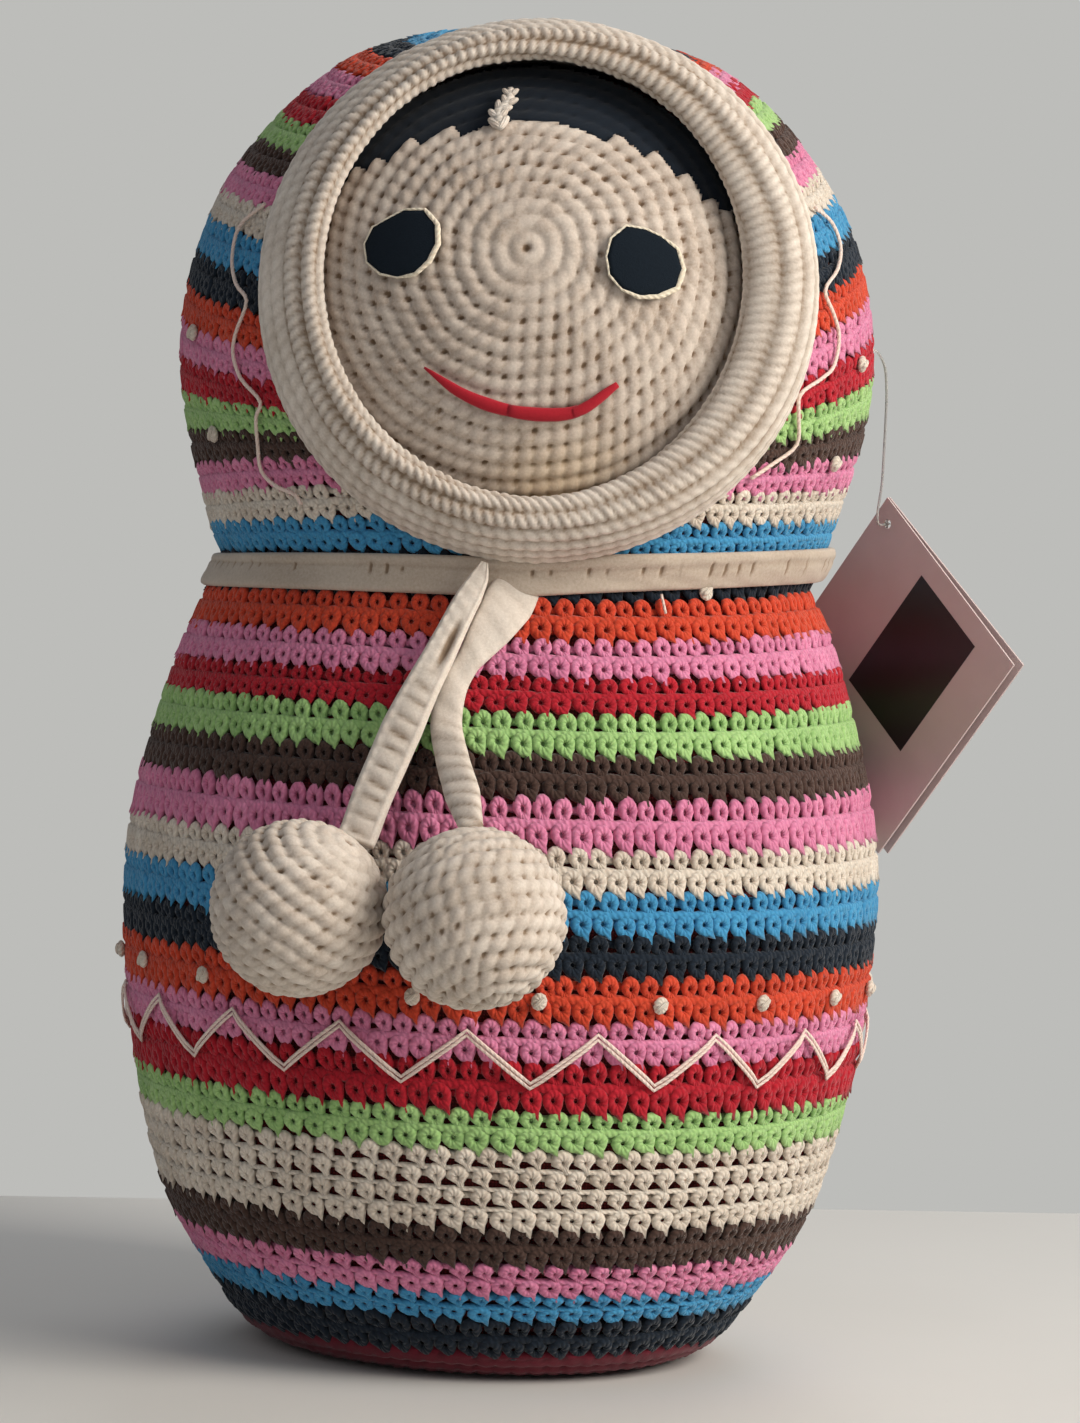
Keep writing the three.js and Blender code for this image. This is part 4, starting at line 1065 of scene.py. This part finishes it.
def close_relief(run, turn, radius_of, row, pitch):
    """Height in mm and shade of close crochet. run is measured from the middle of the first round and turn
    goes round it. A round is one row high and a stitch one pitch wide."""
    # rounds waver as hands do, once the first ones are made
    run = run + (0.3 * np.sin(4 * turn + 1) + 0.2 * np.sin(11 * turn)) * np.clip(run / 20, 0, 1)
    level = run / row
    this_round = np.floor(level)
    number = stitches_round(radius_of((this_round + 0.5) * row), pitch)
    stitch = turn * number / (2 * math.pi) + 0.5 * (level - this_round - 0.5)
    own = own_number(this_round, np.floor(stitch))
    ridge = np.abs(np.sin(math.pi * level)) ** 0.75
    bump = np.abs(np.sin(math.pi * stitch)) ** 0.7
    # a slanted pit where stitches meet, deep at some and hardly there at others
    meeting = np.round(level)
    number = stitches_round(radius_of(meeting * row), pitch)
    stitch = turn * number / (2 * math.pi)
    luck = own_number(meeting, np.round(stitch), second=True)
    aside, above = (stitch - np.round(stitch)) * pitch, (level - meeting) * row
    pit = np.exp(-((aside + 0.4 * above) ** 2 + above ** 2) / (2 * 0.42 ** 2)) * (0.2 + 0.8 * luck ** 1.3)
    # the first rounds are too tight for pits, apart from the one in the middle
    out_here = np.clip((run - 5) / 14, 0, 1)
    pit = np.where(meeting > 0, pit * out_here, np.exp(-(run / 0.8) ** 2))
    height = 0.65 * ridge + (0.4 + 0.4 * own) * ridge * bump * (0.25 + 0.75 * out_here) - 1.3 * pit
    # painted shade: the pits, the grooves between rounds and those between stitches are darker; own adds each
    # stitch's own tone
    shade = 0.15 + 0.3 * own * ridge + 1.8 * pit + 0.25 * (1 - ridge) + 0.25 * (1 - bump) * out_here
    return height, shade


print("Close crochet:", np.round(close_relief(np.array([10.0]), np.array([1.0]), lambda at: at, 4.5, 4.0), 2))

# %% [markdown]
# The base is a flat disc of dark red crochet that turns up into the first navy round. It is worked from its
# middle outwards, and nothing of it goes below the table.

# %% Base
BASE_LINE = smooth_line([(0, 0), (44, 0), (56, 1.6), (63.7, 6.4)], 12)
base_run = lengths_along(BASE_LINE)
run, turn = grid(np.arange(0.8, base_run[-1], 0.9), full_turn(320))
height, shade = close_relief(run, turn, lambda at: np.interp(at, base_run, BASE_LINE[:, 0]), 4.6, 4.4)
r, z = (np.interp(run, base_run, BASE_LINE[:, k]) for k in (0, 1))
low_face = np.stack([r * np.sin(turn), -r * np.cos(turn), np.maximum(z, 0) + 1.5 - height], axis=-1)
high_face = np.stack([r * np.sin(turn), -r * np.cos(turn), z + 3.2], axis=-1)[::-6]
disc = capped(np.concatenate([low_face, high_face]), (0, 0, 1.2), (0, 0, 3.2),
              np.concatenate([shade, np.zeros(high_face.shape[:2])]))
piece("base_disc_crochet", [disc], YARN["base"], "doll", "yarn_dark_red", "base_disc")
print("Base from", round(float(disc["co"][:, 2].min()), 2), "mm up")

# %% [markdown]
# The face is a dome worked from a point a little above its middle. Below the hairline the yarn is cream and
# above it navy. The colour changes from one stitch to the next and never inside a stitch, so the hairline is
# stepped. A short curl of cream yarn, the forelock, stands up from it.

# %% Face and hair
# the hairline is an arc: its radius, and how far below the face's middle its own middle is
HAIRLINE, HAIR_MIDDLE = 73.5, -34.5
FACE_ROW, FACE_PITCH = 4.5, 3.95
# where the first round of the face was begun, and directions to the right and up from there
POLE = on_dome(-1.0, 5.6)[1][0]
POLE_EAST = unit(FACE_U - (FACE_U @ POLE) * POLE)
POLE_NORTH = np.cross(POLE, POLE_EAST)


def round_radius(run):
    """The radius of a round of the face, by how far from the first one it is."""
    return DOME * np.sin(run / DOME)


def is_cream(run, turn):
    """True where the stitch that a place lies in has its middle below the hairline."""
    level = np.floor(run / FACE_ROW) + 0.5
    number = stitches_round(round_radius(level * FACE_ROW), FACE_PITCH)
    angle = (np.floor(turn * number / (2 * math.pi)) + 0.5) * 2 * math.pi / number
    polar = level * FACE_ROW / DOME
    spoke = np.sin(angle)[..., None] * POLE_EAST - np.cos(angle)[..., None] * POLE_NORTH
    middle = DOME_MIDDLE + DOME * (np.cos(polar)[..., None] * POLE + np.sin(polar)[..., None] * spoke)
    u, v, _ = np.moveaxis(to_face(middle), -1, 0)
    u, v = u * math.cos(ROLL) + v * math.sin(ROLL), v * math.cos(ROLL) - u * math.sin(ROLL)
    return np.hypot(u, v - HAIR_MIDDLE) < HAIRLINE


side = np.arange(-57, 57.1, 0.62)
u, v = grid(side, side)
w = np.sqrt(DOME ** 2 - u ** 2 - v ** 2)
dome_out = unit(u[..., None] * FACE_U + v[..., None] * FACE_V + w[..., None] * FACE_W)
dome_run = DOME * np.arccos(np.clip(dome_out @ POLE, -1, 1))
dome_turn = np.arctan2(dome_out @ POLE_EAST, -(dome_out @ POLE_NORTH))
height, shade = close_relief(dome_run, dome_turn, round_radius, FACE_ROW, FACE_PITCH)
cream = is_cream(dome_run, dome_turn)
front = DOME_MIDDLE + dome_out * (DOME - 1.3 + np.where(cream, height, height * 0.35 - 0.5))[..., None]
back = DOME_MIDDLE + dome_out * (DOME - 4.2)
within = (np.hypot(u, v) < 56.5)[:-1, :-1]
face_cloth = cut_cloth(front, back, within & cream[:-1, :-1], shade)
hair_cloth = cut_cloth(front, back, within & ~cream[:-1, :-1], shade * 0.5)
piece("face_crochet", [face_cloth], YARN["face"], "doll", "yarn_cream", "face")
piece("hair_crochet", [hair_cloth], YARN["hair"], "doll", "yarn_navy", "hair")
print("Face and hair of", len(face_cloth["starts"]), "and", len(hair_cloth["starts"]), "squares")

# %% Forelock
lock = smooth_line([(-10.2, 36), (-10.6, 39.5), (-8.6, 42.5), (-8.4, 46.2)], 3)
spot, out = on_dome(lock[:, 0], lock[:, 1], 0.7)
up = unit(np.gradient(spot, axis=0))
parts = [drawn(spot, np.linspace(1.7, 1.0, len(spot)), 6)]
for way in (-1, 1):
    slant = unit(up + np.cross(up, out) * 0.7 * way)
    parts.append(sew(strand, (spot + np.cross(up, out) * way * 1.0 + out * 0.5)[::2], slant[::2],
                     np.cross(out, slant)[::2], out[::2], np.linspace(1.25, 0.8, len(spot[::2]))))
piece("forelock_chain", parts, YARN["face"], "doll", "yarn_cream", "forelock")
print("Forelock of", sum(part["cell"].max() + 1 for part in parts), "strands")

# %% [markdown]
# The eyes are cut from navy felt by hand, so their outlines are uneven, and each is sewn down with a thin
# cream thread round its edge.

# %% Eyes
# pressed felt: matt, with matted fibres of about half a millimetre
felt, tree = bare_material("pressed_felt_navy")
matted = noise(tree, 1500, 5, Distortion=2.0)
tone = blend(tree, matted, linear("#11171E"), linear("#1B242D"))
surface(tree, tone, {"Roughness": 0.95, "Specular IOR Level": 0.1}, (matted, 0.5, 0.0004))


def eye(name, u, v, outline, heavy, node):
    """A felt patch: a disc drawn in to its corners, given its thickness and laid on the dome. The
    thread round it is returned, and it is heavier towards one side."""
    start("circle", vertices=len(outline), radius=1, fill_type="NGON")
    bpy.ops.mesh.inset(thickness=0.12)
    bpy.ops.mesh.poke()
    bpy.ops.mesh.select_all(action="SELECT")
    bpy.ops.mesh.extrude_region_move(TRANSFORM_OT_translate={"value": (0, 0, 1.2)})
    bpy.ops.mesh.select_all(action="SELECT")
    bpy.ops.mesh.normals_make_consistent(inside=False)
    patch = read_off()
    x, y, z = patch["co"].T
    corner = np.linspace(-math.pi, math.pi, len(outline) + 1)
    reach = np.interp(np.arctan2(y, x), corner, [*outline, outline[0]])
    place, out = on_dome(u + x * reach, v + y * reach)
    lift = np.where(z > 0.6, 1.9, 0.5) - 0.35 * np.hypot(x, y) ** 6 * (z > 0.6)
    patch["co"] = place + out * lift[:, None]
    patch["uv"] = np.stack([x, y], axis=1)[patch["corners"]] * 0.48 + 0.5
    piece(name, [laid(patch, 0.0)], felt, "doll", "felt_navy", node)
    edge_u, edge_v = (np.append(outline, outline[0]) * f(corner) for f in (np.cos, np.sin))
    turn = np.linspace(-math.pi, math.pi, 48, endpoint=False)
    ring, out = on_dome(u + np.interp(turn, corner, edge_u) + 0.3 * np.cos(turn),
                        v + np.interp(turn, corner, edge_v) + 0.3 * np.sin(turn), 1.3)
    girth = 0.3 + 0.5 * np.clip(np.cos(turn - heavy), 0, 1) + rng.normal(0, 0.05, 48)
    return drawn(ring + out * rng.normal(0, 0.08, (48, 1)), girth, 6, closed=True)


# distances of the corners from the middle, from the left round by the bottom in steps of 30 degrees
LEFT_EYE = [8.4, 8.6, 8.1, 7.8, 8.1, 7.9, 8.5, 9.2, 9.4, 8.0, 6.9, 7.9]
RIGHT_EYE = [8.3, 8.4, 8.2, 8.2, 8.5, 9.6, 9.4, 8.7, 7.6, 7.7, 9.0, 8.8]
edges = [eye("eye_felt_left", -30.4, 4.6, LEFT_EYE, 0.0, "eye_left"),
         eye("eye_felt_right", 26.3, 5.2, RIGHT_EYE, -0.6, "eye_right")]
thread_cream = cotton_yarn("sewing_thread_cream", "#EADFCB", "#C9B79B")
piece("eye_edge_thread", edges, thread_cream, "doll", "yarn_cream")
print("Eyes with threads of", [len(edge["co"]) // 6 for edge in edges], "points")

# %% [markdown]
# The mouth is three satin stitches of red thread, laid one after the other in a smile: thin at its left
# corner, full in the middle, and each lapping over the one before. Each is a flat tube on the dome.

# %% Mouth
smile = smooth_line([(-22.4, -24.0), (-13, -29.4), (-3, -32.2), (7, -32.5), (14.6, -30.8), (23.1, -23.8)], 8)
along = np.linspace(0, 1, len(smile))
# where each stitch begins and ends along the smile, how far it stands out, and its half width from end to end
SATIN = ((0, 0.46, 0.9, (0.3, 1.25, 1.7, 1.5)),
         (0.42, 0.8, 1.0, (1.5, 1.75, 1.7, 1.5)),
         (0.76, 1, 1.2, (1.35, 1.45, 1.25, 0.8)))
bands = []
for begin, end, lift, half_width in SATIN:
    share = np.linspace(begin, end, 16)
    spot, out = on_dome(*(np.interp(share, along, smile[:, k]) for k in (0, 1)), lift)
    across = np.cross(unit(np.gradient(spot, axis=0)), out)
    width = np.interp(np.linspace(0, 1, 16), (0, 0.3, 0.7, 1), half_width)
    bands.append(drawn(spot, width, 8, flat=(across, 1.0, 0.5), plain=True))
mouth_thread = cotton_yarn("stranded_cotton_red", "#BA2635", "#86161F")
piece("mouth_thread", bands, mouth_thread, "doll", "yarn_red", "mouth")
print("Mouth of", len(bands), "stitches")

# %% [markdown]
# The brim is a rolled band, wider at the sides, where it turns further over. It is made as the face is, one
# fine mesh raised in relief: ridges follow the roll's section from the outer wall to the inner lip, and each
# ridge is a rope of slanted strands.

# %% Brim
WALL_RADIUS, LIP_RADIUS = 66.4, 52.6
# the roll's section: distance from the face's axis, height over the face's middle, and shift to the right
ROLL_SECTION = smooth_line([(WALL_RADIUS, 54, 0), (WALL_RADIUS, 73, 0), (63, 82, 3), (57.5, 86.5, 3),
                            (LIP_RADIUS, 84, 0), (53.4, 77.6, 0)], 12)
SECTION_RUN = lengths_along(ROLL_SECTION[:, :2])


def on_section(at, k):
    """One measure of the roll's section, at millimetres along it from its outer foot to its lip."""
    return np.interp(at, SECTION_RUN, ROLL_SECTION[:, k])


def round_face(reach, turn, aside, w):
    """Places round the face's axis, moved aside, at a height over the face's middle."""
    return (FACE_MIDDLE + np.multiply.outer(reach * np.cos(turn) + aside, FACE_U)
            + np.multiply.outer(reach * np.sin(turn), FACE_V) + np.multiply.outer(w, FACE_W))


def round_brim(at, turn, sink):
    """Places all round the roll, at one place of its section and sunk below it."""
    rho, w, shift = (on_section(at, k) for k in range(3))
    ahead = [on_section(at + 0.5, k) - on_section(at - 0.5, k) for k in range(2)]
    under = np.array([-ahead[1], ahead[0]]) / np.hypot(*ahead)
    # the roll lies wider at the sides: its wall reaches further out there, and its lip further in
    right, top = np.cos(turn), np.sin(turn)
    to_lip = np.clip((WALL_RADIUS - rho) / (WALL_RADIUS - LIP_RADIUS), 0, 1)
    further_out = 0.4 + 0.45 * right + 0.6 * top + 1.3 * right * right
    further_in = -0.5 + 0.7 * right - 1.5 * top + 3.2 * right * right
    wider = (1 - to_lip) * further_out - to_lip * further_in
    return round_face(rho + under[0] * sink + wider, turn, BRIM_ASIDE + shift, w + under[1] * sink)


# where one ridge ends and the next begins along the section, and how high each ridge and its strands are
RIDGES = np.array([0, 5, 10, 15, 20, 24, 28, 32, 36.8, 41.8, 48])
RIDGE_HEIGHT = np.array([0.12, 0.12, 0.15, 0.2, 0.2, 0.25, 0.35, 1.0, 1.05, 0.6])
ROPE_HEIGHT = np.array([0.1, 0.1, 0.1, 0.12, 0.15, 0.18, 0.25, 0.55, 0.5, 0.3])


def brim_relief(at, turn):
    """Height and shade of the brim: ropes of slanted strands at the lip, a plain wall outside them, and on
    that wall ridges on the right, knobs along the top and both along the bottom."""
    at = at + 0.4 * np.sin(3 * turn + 2) + 0.25 * np.sin(7 * turn) + 5 * np.clip(-np.cos(turn), 0, 1)
    which = np.clip(np.searchsorted(RIDGES, at) - 1, 0, len(RIDGES) - 2)
    share = np.clip((at - RIDGES[which]) / (RIDGES[which + 1] - RIDGES[which]), 0, 1)
    ridge = np.sin(math.pi * share) ** 0.7
    # strands are 2.7 mm apart at the lip and 3.4 mm on the wall
    number = np.round(2 * math.pi * 60 / np.where(which > 6, 2.7, 3.4))
    strand_at = turn * number / (2 * math.pi) + 0.8 * share + 0.37 * which
    own = own_number(which, np.floor(strand_at))
    bump = np.abs(np.sin(math.pi * strand_at)) ** 0.8
    right = np.clip(np.cos(turn + 0.3), 0, 1)
    top, low = (np.clip(way * np.sin(turn), 0, 1) for way in (1, -1))
    outside = (which > 2) & (which < 7)
    rib = RIDGE_HEIGHT[which] * (1 - 0.2 * right) + (0.6 * right + 0.3 * low) * outside
    rope = (ROPE_HEIGHT[which] + (0.35 * top + 0.3 * low) * (which > 2)) * (1 - 0.3 * right)
    height = rib * ridge + rope * ridge * bump * (0.7 + 0.6 * own)
    # painted shade: the grooves between ridges and between strands are darker; own adds each strand's own
    # tone
    return height, 0.15 * own + (0.7 * rib + 0.1) * (1 - ridge) + 1.1 * rope * (1 - bump)


turn = full_turn(600)
roll_at, roll_turn = grid(np.arange(0, SECTION_RUN[-1], 0.66), turn)
height, shade = brim_relief(roll_at, roll_turn)
rings = [round_brim(at, turn, 1.1 - rise) for at, rise in zip(roll_at[:, 0], height)]
# the back of the roll is plain, and a little darker than its front: painted shade
rings += [round_face(58.5, turn, BRIM_ASIDE, w) for w in (78, 66, 54)]
roll = wrapped(np.array(rings), np.concatenate([shade, np.full((3, len(turn)), 0.5)]))
piece("brim_roll", [roll], YARN["pale"], "doll", "yarn_cream", "hood_brim")
print("Brim of", len(roll["starts"]), "squares")

# %% [markdown]
# The neck strap is a flat band that draws the cover in. It is worked lengthwise and is nearly smooth: a faint
# groove runs round it, and thin slits show where its stitches part. The whole strap is painted a little
# darker for the brim's shadow, and its groove and slits darker still: painted shade. It has slipped up on the
# right, where the last navy round shows below it.

# %% Neck strap
# the strap's section is a flat oval: half its width up and down, and its thickness off the cover
section = math.pi - np.arange(48) * 2 * math.pi / 48
strap_y = 5.1 * np.sign(np.cos(section)) * np.abs(np.cos(section)) ** 0.7
strap_x = 1.0 + 1.5 * np.sign(np.sin(section)) * np.abs(np.sin(section)) ** 0.7
# seven columns to each stitch, close together where the slit is
STRAP_STITCHES = 108
tick, beside = grid(np.arange(STRAP_STITCHES), [-0.5, -0.3, -0.13, -0.05, 0.05, 0.13, 0.3])
own = own_number(0, tick)
luck = np.clip(own_number(tick, 0, second=True) * 1.8 - 0.5, 0, 1)
turn = ((tick + beside + 0.16 * (own - 0.5)) * 2 * math.pi / STRAP_STITCHES).ravel()
on_right = np.clip(np.sin(turn), 0, 1)
climb = 2.8 * np.tanh(3 * on_right)
narrow = 1 - 0.14 * on_right
rings, shades = [], []
for y, x in zip(strap_y, strap_x):
    # a groove above the middle, and in it slits, longer or shorter and some hardly open
    groove = np.exp(-((y - 2.2 + 0.3 * np.sin(5 * turn)) / 0.7) ** 2) * 0.3
    slit = (luck * np.exp(-(beside * 4.5 / 0.3) ** 2 - ((y - 1.2) / (0.9 + 1.3 * own)) ** 4)).ravel()
    sunk = (0.1 * np.sin(9 * turn) + 0.08 * np.sin(31 * turn + y) + groove + 0.9 * slit) * (x > 1.2)
    run = askew(neck_run + (run_at(NECK + y) - neck_run) * narrow, turn) + climb
    rings.append(on_cover(run, turn, (sunk - x)[:, None])[0])
    # painted shade: the whole strap a little darker, for the brim's shadow, and the groove and the slits
    # darker still
    shades.append(0.45 + 0.5 * groove + 1.6 * slit * (x > 1.2))
strap = wrapped(np.array(rings), np.array(shades))
piece("neck_strap_crochet", [strap], YARN["cream"], "doll", "yarn_cream", "neck_strap")
print("Neck strap of", len(strap["starts"]), "squares")

# %% [markdown]
# Each ball is worked in rounds from one pole to the other, closed over a fibre fill. The left ball hangs
# askew, so its rounds run down to the right; the right ball shows its closing pole low on the right.

# %% Balls
start("ico_sphere", subdivisions=4, radius=1)
globe = read_off()
globe["uv"] = globe["co"][globe["corners"]][:, :2] * 0.49 + 0.5


def ball(side, centre, radius, pole, body):
    """A stuffed ball of close crochet, worked round a pole."""
    pole = unit(np.asarray(pole, float))
    east = unit(np.cross(pole, (0.2, 1.0, 0.1)))
    north = np.cross(pole, east)
    polar, turn = grid(np.linspace(0.03, math.pi - 0.03, 100), full_turn(200))
    height, shade = close_relief(polar * radius, turn,
                                 lambda at: radius * np.sin(np.clip(at / radius, 0, math.pi)),
                                 math.pi * radius / 15, 4.2)
    spoke = np.cos(turn)[..., None] * east + np.sin(turn)[..., None] * north
    out = np.cos(polar)[..., None] * pole + np.sin(polar)[..., None] * spoke
    rings = centre + out * (radius - 1.2 + height)[..., None]
    cover = capped(rings[::-1], centre - pole * (radius - 1), centre + pole * (radius - 1), shade[::-1])
    piece(f"{side}_ball_crochet", [cover], YARN["pale"], body, "yarn_cream", f"ball_{side}")
    fill = lumpy({**globe, "co": globe["co"] * (radius - 3.6)}, 0.5)
    inside = sew(fill, centre, (1, 0, 0), (0, 1, 0), (0, 0, 1))
    stuffed = piece(f"{side}_ball_fill", [inside], fill_fibre, body, "fibre_white", f"ball_{side}_stuffing")


LEFT_BALL, RIGHT_BALL = in_front(-46.5, 79.5, 22.2), in_front(-5, 79, 22.5)
ball("left", LEFT_BALL, 21.2, (0.55, -0.25, 0.8), "left_tie")
ball("right", RIGHT_BALL, 21.7, (-0.30, 0.35, 0.9), "right_tie")
print("Balls at", np.round(LEFT_BALL, 1), np.round(RIGHT_BALL, 1))

# %% [markdown]
# Embroidery: a zigzag of two flat threads round the skirt, a round of knots above it, and single knots on
# the hood and below the strap. They lie on the stitches and are sewn through them at the corners.

# %% Skirt zigzag
ZIG_POINTS = 19
ZIG_TOP, ZIG_LOW = run_at(90.5), run_at(78.2)
zig_turn = np.arange(2 * ZIG_POINTS) * math.pi / ZIG_POINTS + math.radians(-3.5)
parts = []
for offset in (-0.62, 0.62):
    line = []
    for k, begin in enumerate(zig_turn):
        end = begin + math.pi / ZIG_POINTS
        from_run, to_run = (ZIG_LOW, ZIG_TOP) if k % 2 else (ZIG_TOP, ZIG_LOW)
        for share in np.linspace(0, 1, 6, endpoint=False):
            run = from_run * (1 - share) + to_run * share
            # the thread stands off between its corners, where it is sewn down
            dip = -1.25 + 0.95 * (abs(2 * share - 1) ** 4)
            line.append(on_cover(run + offset, begin * (1 - share) + end * share, dip)[0][0])
    line = np.array(line)
    out = unit(line * (1, 1, 0))
    across = np.cross(unit(np.roll(line, -1, 0) - np.roll(line, 1, 0)), out)
    parts.append(drawn(line, 0.46, 6, closed=True, flat=(across, 1.0, 0.75)))
embroidery = cotton_yarn("stranded_cotton_shell", "#EDD9CE", "#C9A99B")
piece("zigzag_thread", parts, embroidery, "doll", "yarn_cream", "skirt_zigzag")
print("Zigzag of", ZIG_POINTS, "points")

# %% Knots
start("uv_sphere", segments=10, ring_count=6, radius=1)
bpy.ops.transform.resize(value=(2.1, 2.35, 1.15))
round_head = read_off()


def knot(spot, out):
    """A wound knot: a low round head with one strand laid aslant over it."""
    east = unit(np.cross(out, (0.1, 0.2, 0.97)))
    north = np.cross(out, east)
    return [sew(round_head, spot + out * 0.1, east, north, out, 0.95, 0.2),
            sew(strand, spot + out * 0.9, unit(east + north), unit(north - east), out, 0.95, 0.2)]


SKIRT_KNOTS = 20
# height and turn of each knot on the hood
HOOD_KNOTS = ((262, -1.2), (262, 1.22), (262, 2.2), (262, -2.2), (233, -1.08), (233, 1.12), (316, -0.9),
              (316, 0.9))
parts = []
for k in range(SKIRT_KNOTS):
    turn = k * 2 * math.pi / SKIRT_KNOTS + math.radians(6.5)
    spot, _, _, out = on_cover(run_at(98.5) + rng.normal(0, 0.4), turn, -0.6)
    parts.extend(knot(spot[0], out[0]))
for height, turn in HOOD_KNOTS:
    spot, _, _, out = leaned(*on_cover(run_at(height), turn, -0.6))
    parts.extend(knot(spot[0], out[0]))
spot, _, _, out = on_cover(run_at(197.2), 0.65, -0.9)
parts.extend(knot(spot[0], out[0]))
piece("wound_knots", parts, YARN["cream"], "doll", "yarn_cream")
print("Knots:", len(parts) // 2)

# %% [markdown]
# A thin cream thread runs down the hood on both sides of the brim in slack bows, caught at their corners.
# Its bows are known as they look from the camera, so the hood is sampled finely and each point takes the
# sample that lies under it. One short end hangs below the strap.

# %% Hood threads
sample = lean(np.concatenate([on_cover(run, np.radians(np.arange(-115, 115, 0.5)), -0.9)[0]
                              for run in np.arange(STRAP_TOP + 1, RUN[-1] - 30, 0.8)]))
sight = (sample - CAMERA_AT) * (-CAMERA_AT[1] / (sample[:, 1:2] - CAMERA_AT[1]))
BACK_OF_HOOD = 12


def seen_on_hood(side, height):
    """The place of the hood's cover that the camera sees at a side and a height over the doll's middle."""
    miss = np.hypot(sight[:, 0] + CAMERA_AT[0] - side, sight[:, 2] + CAMERA_AT[2] - height)
    return sample[np.argmin(miss + (sample[:, 1] > BACK_OF_HOOD) * 1000)]


LEFT_BOWS = [(-69, 291), (-75.5, 285), (-77, 276), (-75.5, 270), (-73, 265.5), (-75.2, 257), (-75.5, 252),
             (-73.5, 246), (-68, 240), (-68.8, 236), (-68.2, 229), (-66.8, 222), (-63, 219), (-57.5, 216.5),
             (-56, 214)]
RIGHT_BOWS = [(72, 296.5), (76.5, 293), (78.8, 288), (78.5, 281.5), (76, 275), (78.2, 270), (79.8, 264.5),
              (79, 256.5), (76.3, 253), (70.5, 248.5), (70.8, 243), (70.4, 236), (64.5, 230.5), (59, 226.5)]
parts = []
for bows in (LEFT_BOWS, RIGHT_BOWS):
    line = smooth_line(smooth_line([seen_on_hood(*corner) for corner in bows], 1), 4)
    parts.append(drawn(line, 0.5, 6))
loose_end = [on_cover(run_at(height), 0.476, -1.3)[0][0] for height in np.linspace(196, 191.5, 5)]
parts.append(drawn(loose_end, 0.35, 6))
piece("loose_threads", parts, embroidery, "doll", "yarn_cream")
print("Hood threads of", [len(part["co"]) // 6 for part in parts], "points")

# %% [markdown]
# The swing tag is folded card with a soft pink-grey print, and on its front is one dark panel, left bare.
# The card keeps its CAD shape. Its finish gets the slight mottling of uncoated card.

# %% Swing tag
# printed card: matt, slightly mottled, with fine pulp under the print
card, tree = bare_material("printed_card")
tone = blend(tree, noise(tree, 90, 5), linear("#D2C0BE"), linear("#C4B0AE"))
surface(tree, tone, {"Roughness": 0.55}, (noise(tree, 2500, 2), 0.1, 0.0002))
for node in ("tag_front_leaf", "tag_back_leaf"):
    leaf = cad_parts[node]
    leaf.data.materials.clear()
    leaf.data.materials.append(card)

# the dark print: smooth, a little cloudy, with a faint shine
dark_print, tree = bare_material("printed_panel")
tone = blend(tree, noise(tree, 60, 2), linear("#1C171B"), linear("#2E2426"))
surface(tree, tone, {"Roughness": 0.45})
start("cube", size=1)
bpy.ops.transform.resize(value=(27, 38, 0.12))
bpy.ops.transform.translate(value=(37.2, -25, 0.58))
bpy.ops.mesh.select_all(action="SELECT")
bpy.ops.mesh.bevel(offset=0.03, segments=2)
panel = read_off()
panel["uv"] = (panel["co"][panel["corners"]][:, :2] - (20, -46)) / 40
piece("tag_panel", [sew(panel, TAG_CORNER, TAG_X, TAG_Y, TAG_Z, 1.0, 0.0)], dark_print, "tag", "card")
print("Tag dressed, its panel", np.round(np.ptp(panel["co"], axis=0)[:2], 1), "mm")

# %% Size of the dressed doll
low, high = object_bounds()
print("Dressed box in mm:", [round(v / MM, 1) for v in (*low, *high)])
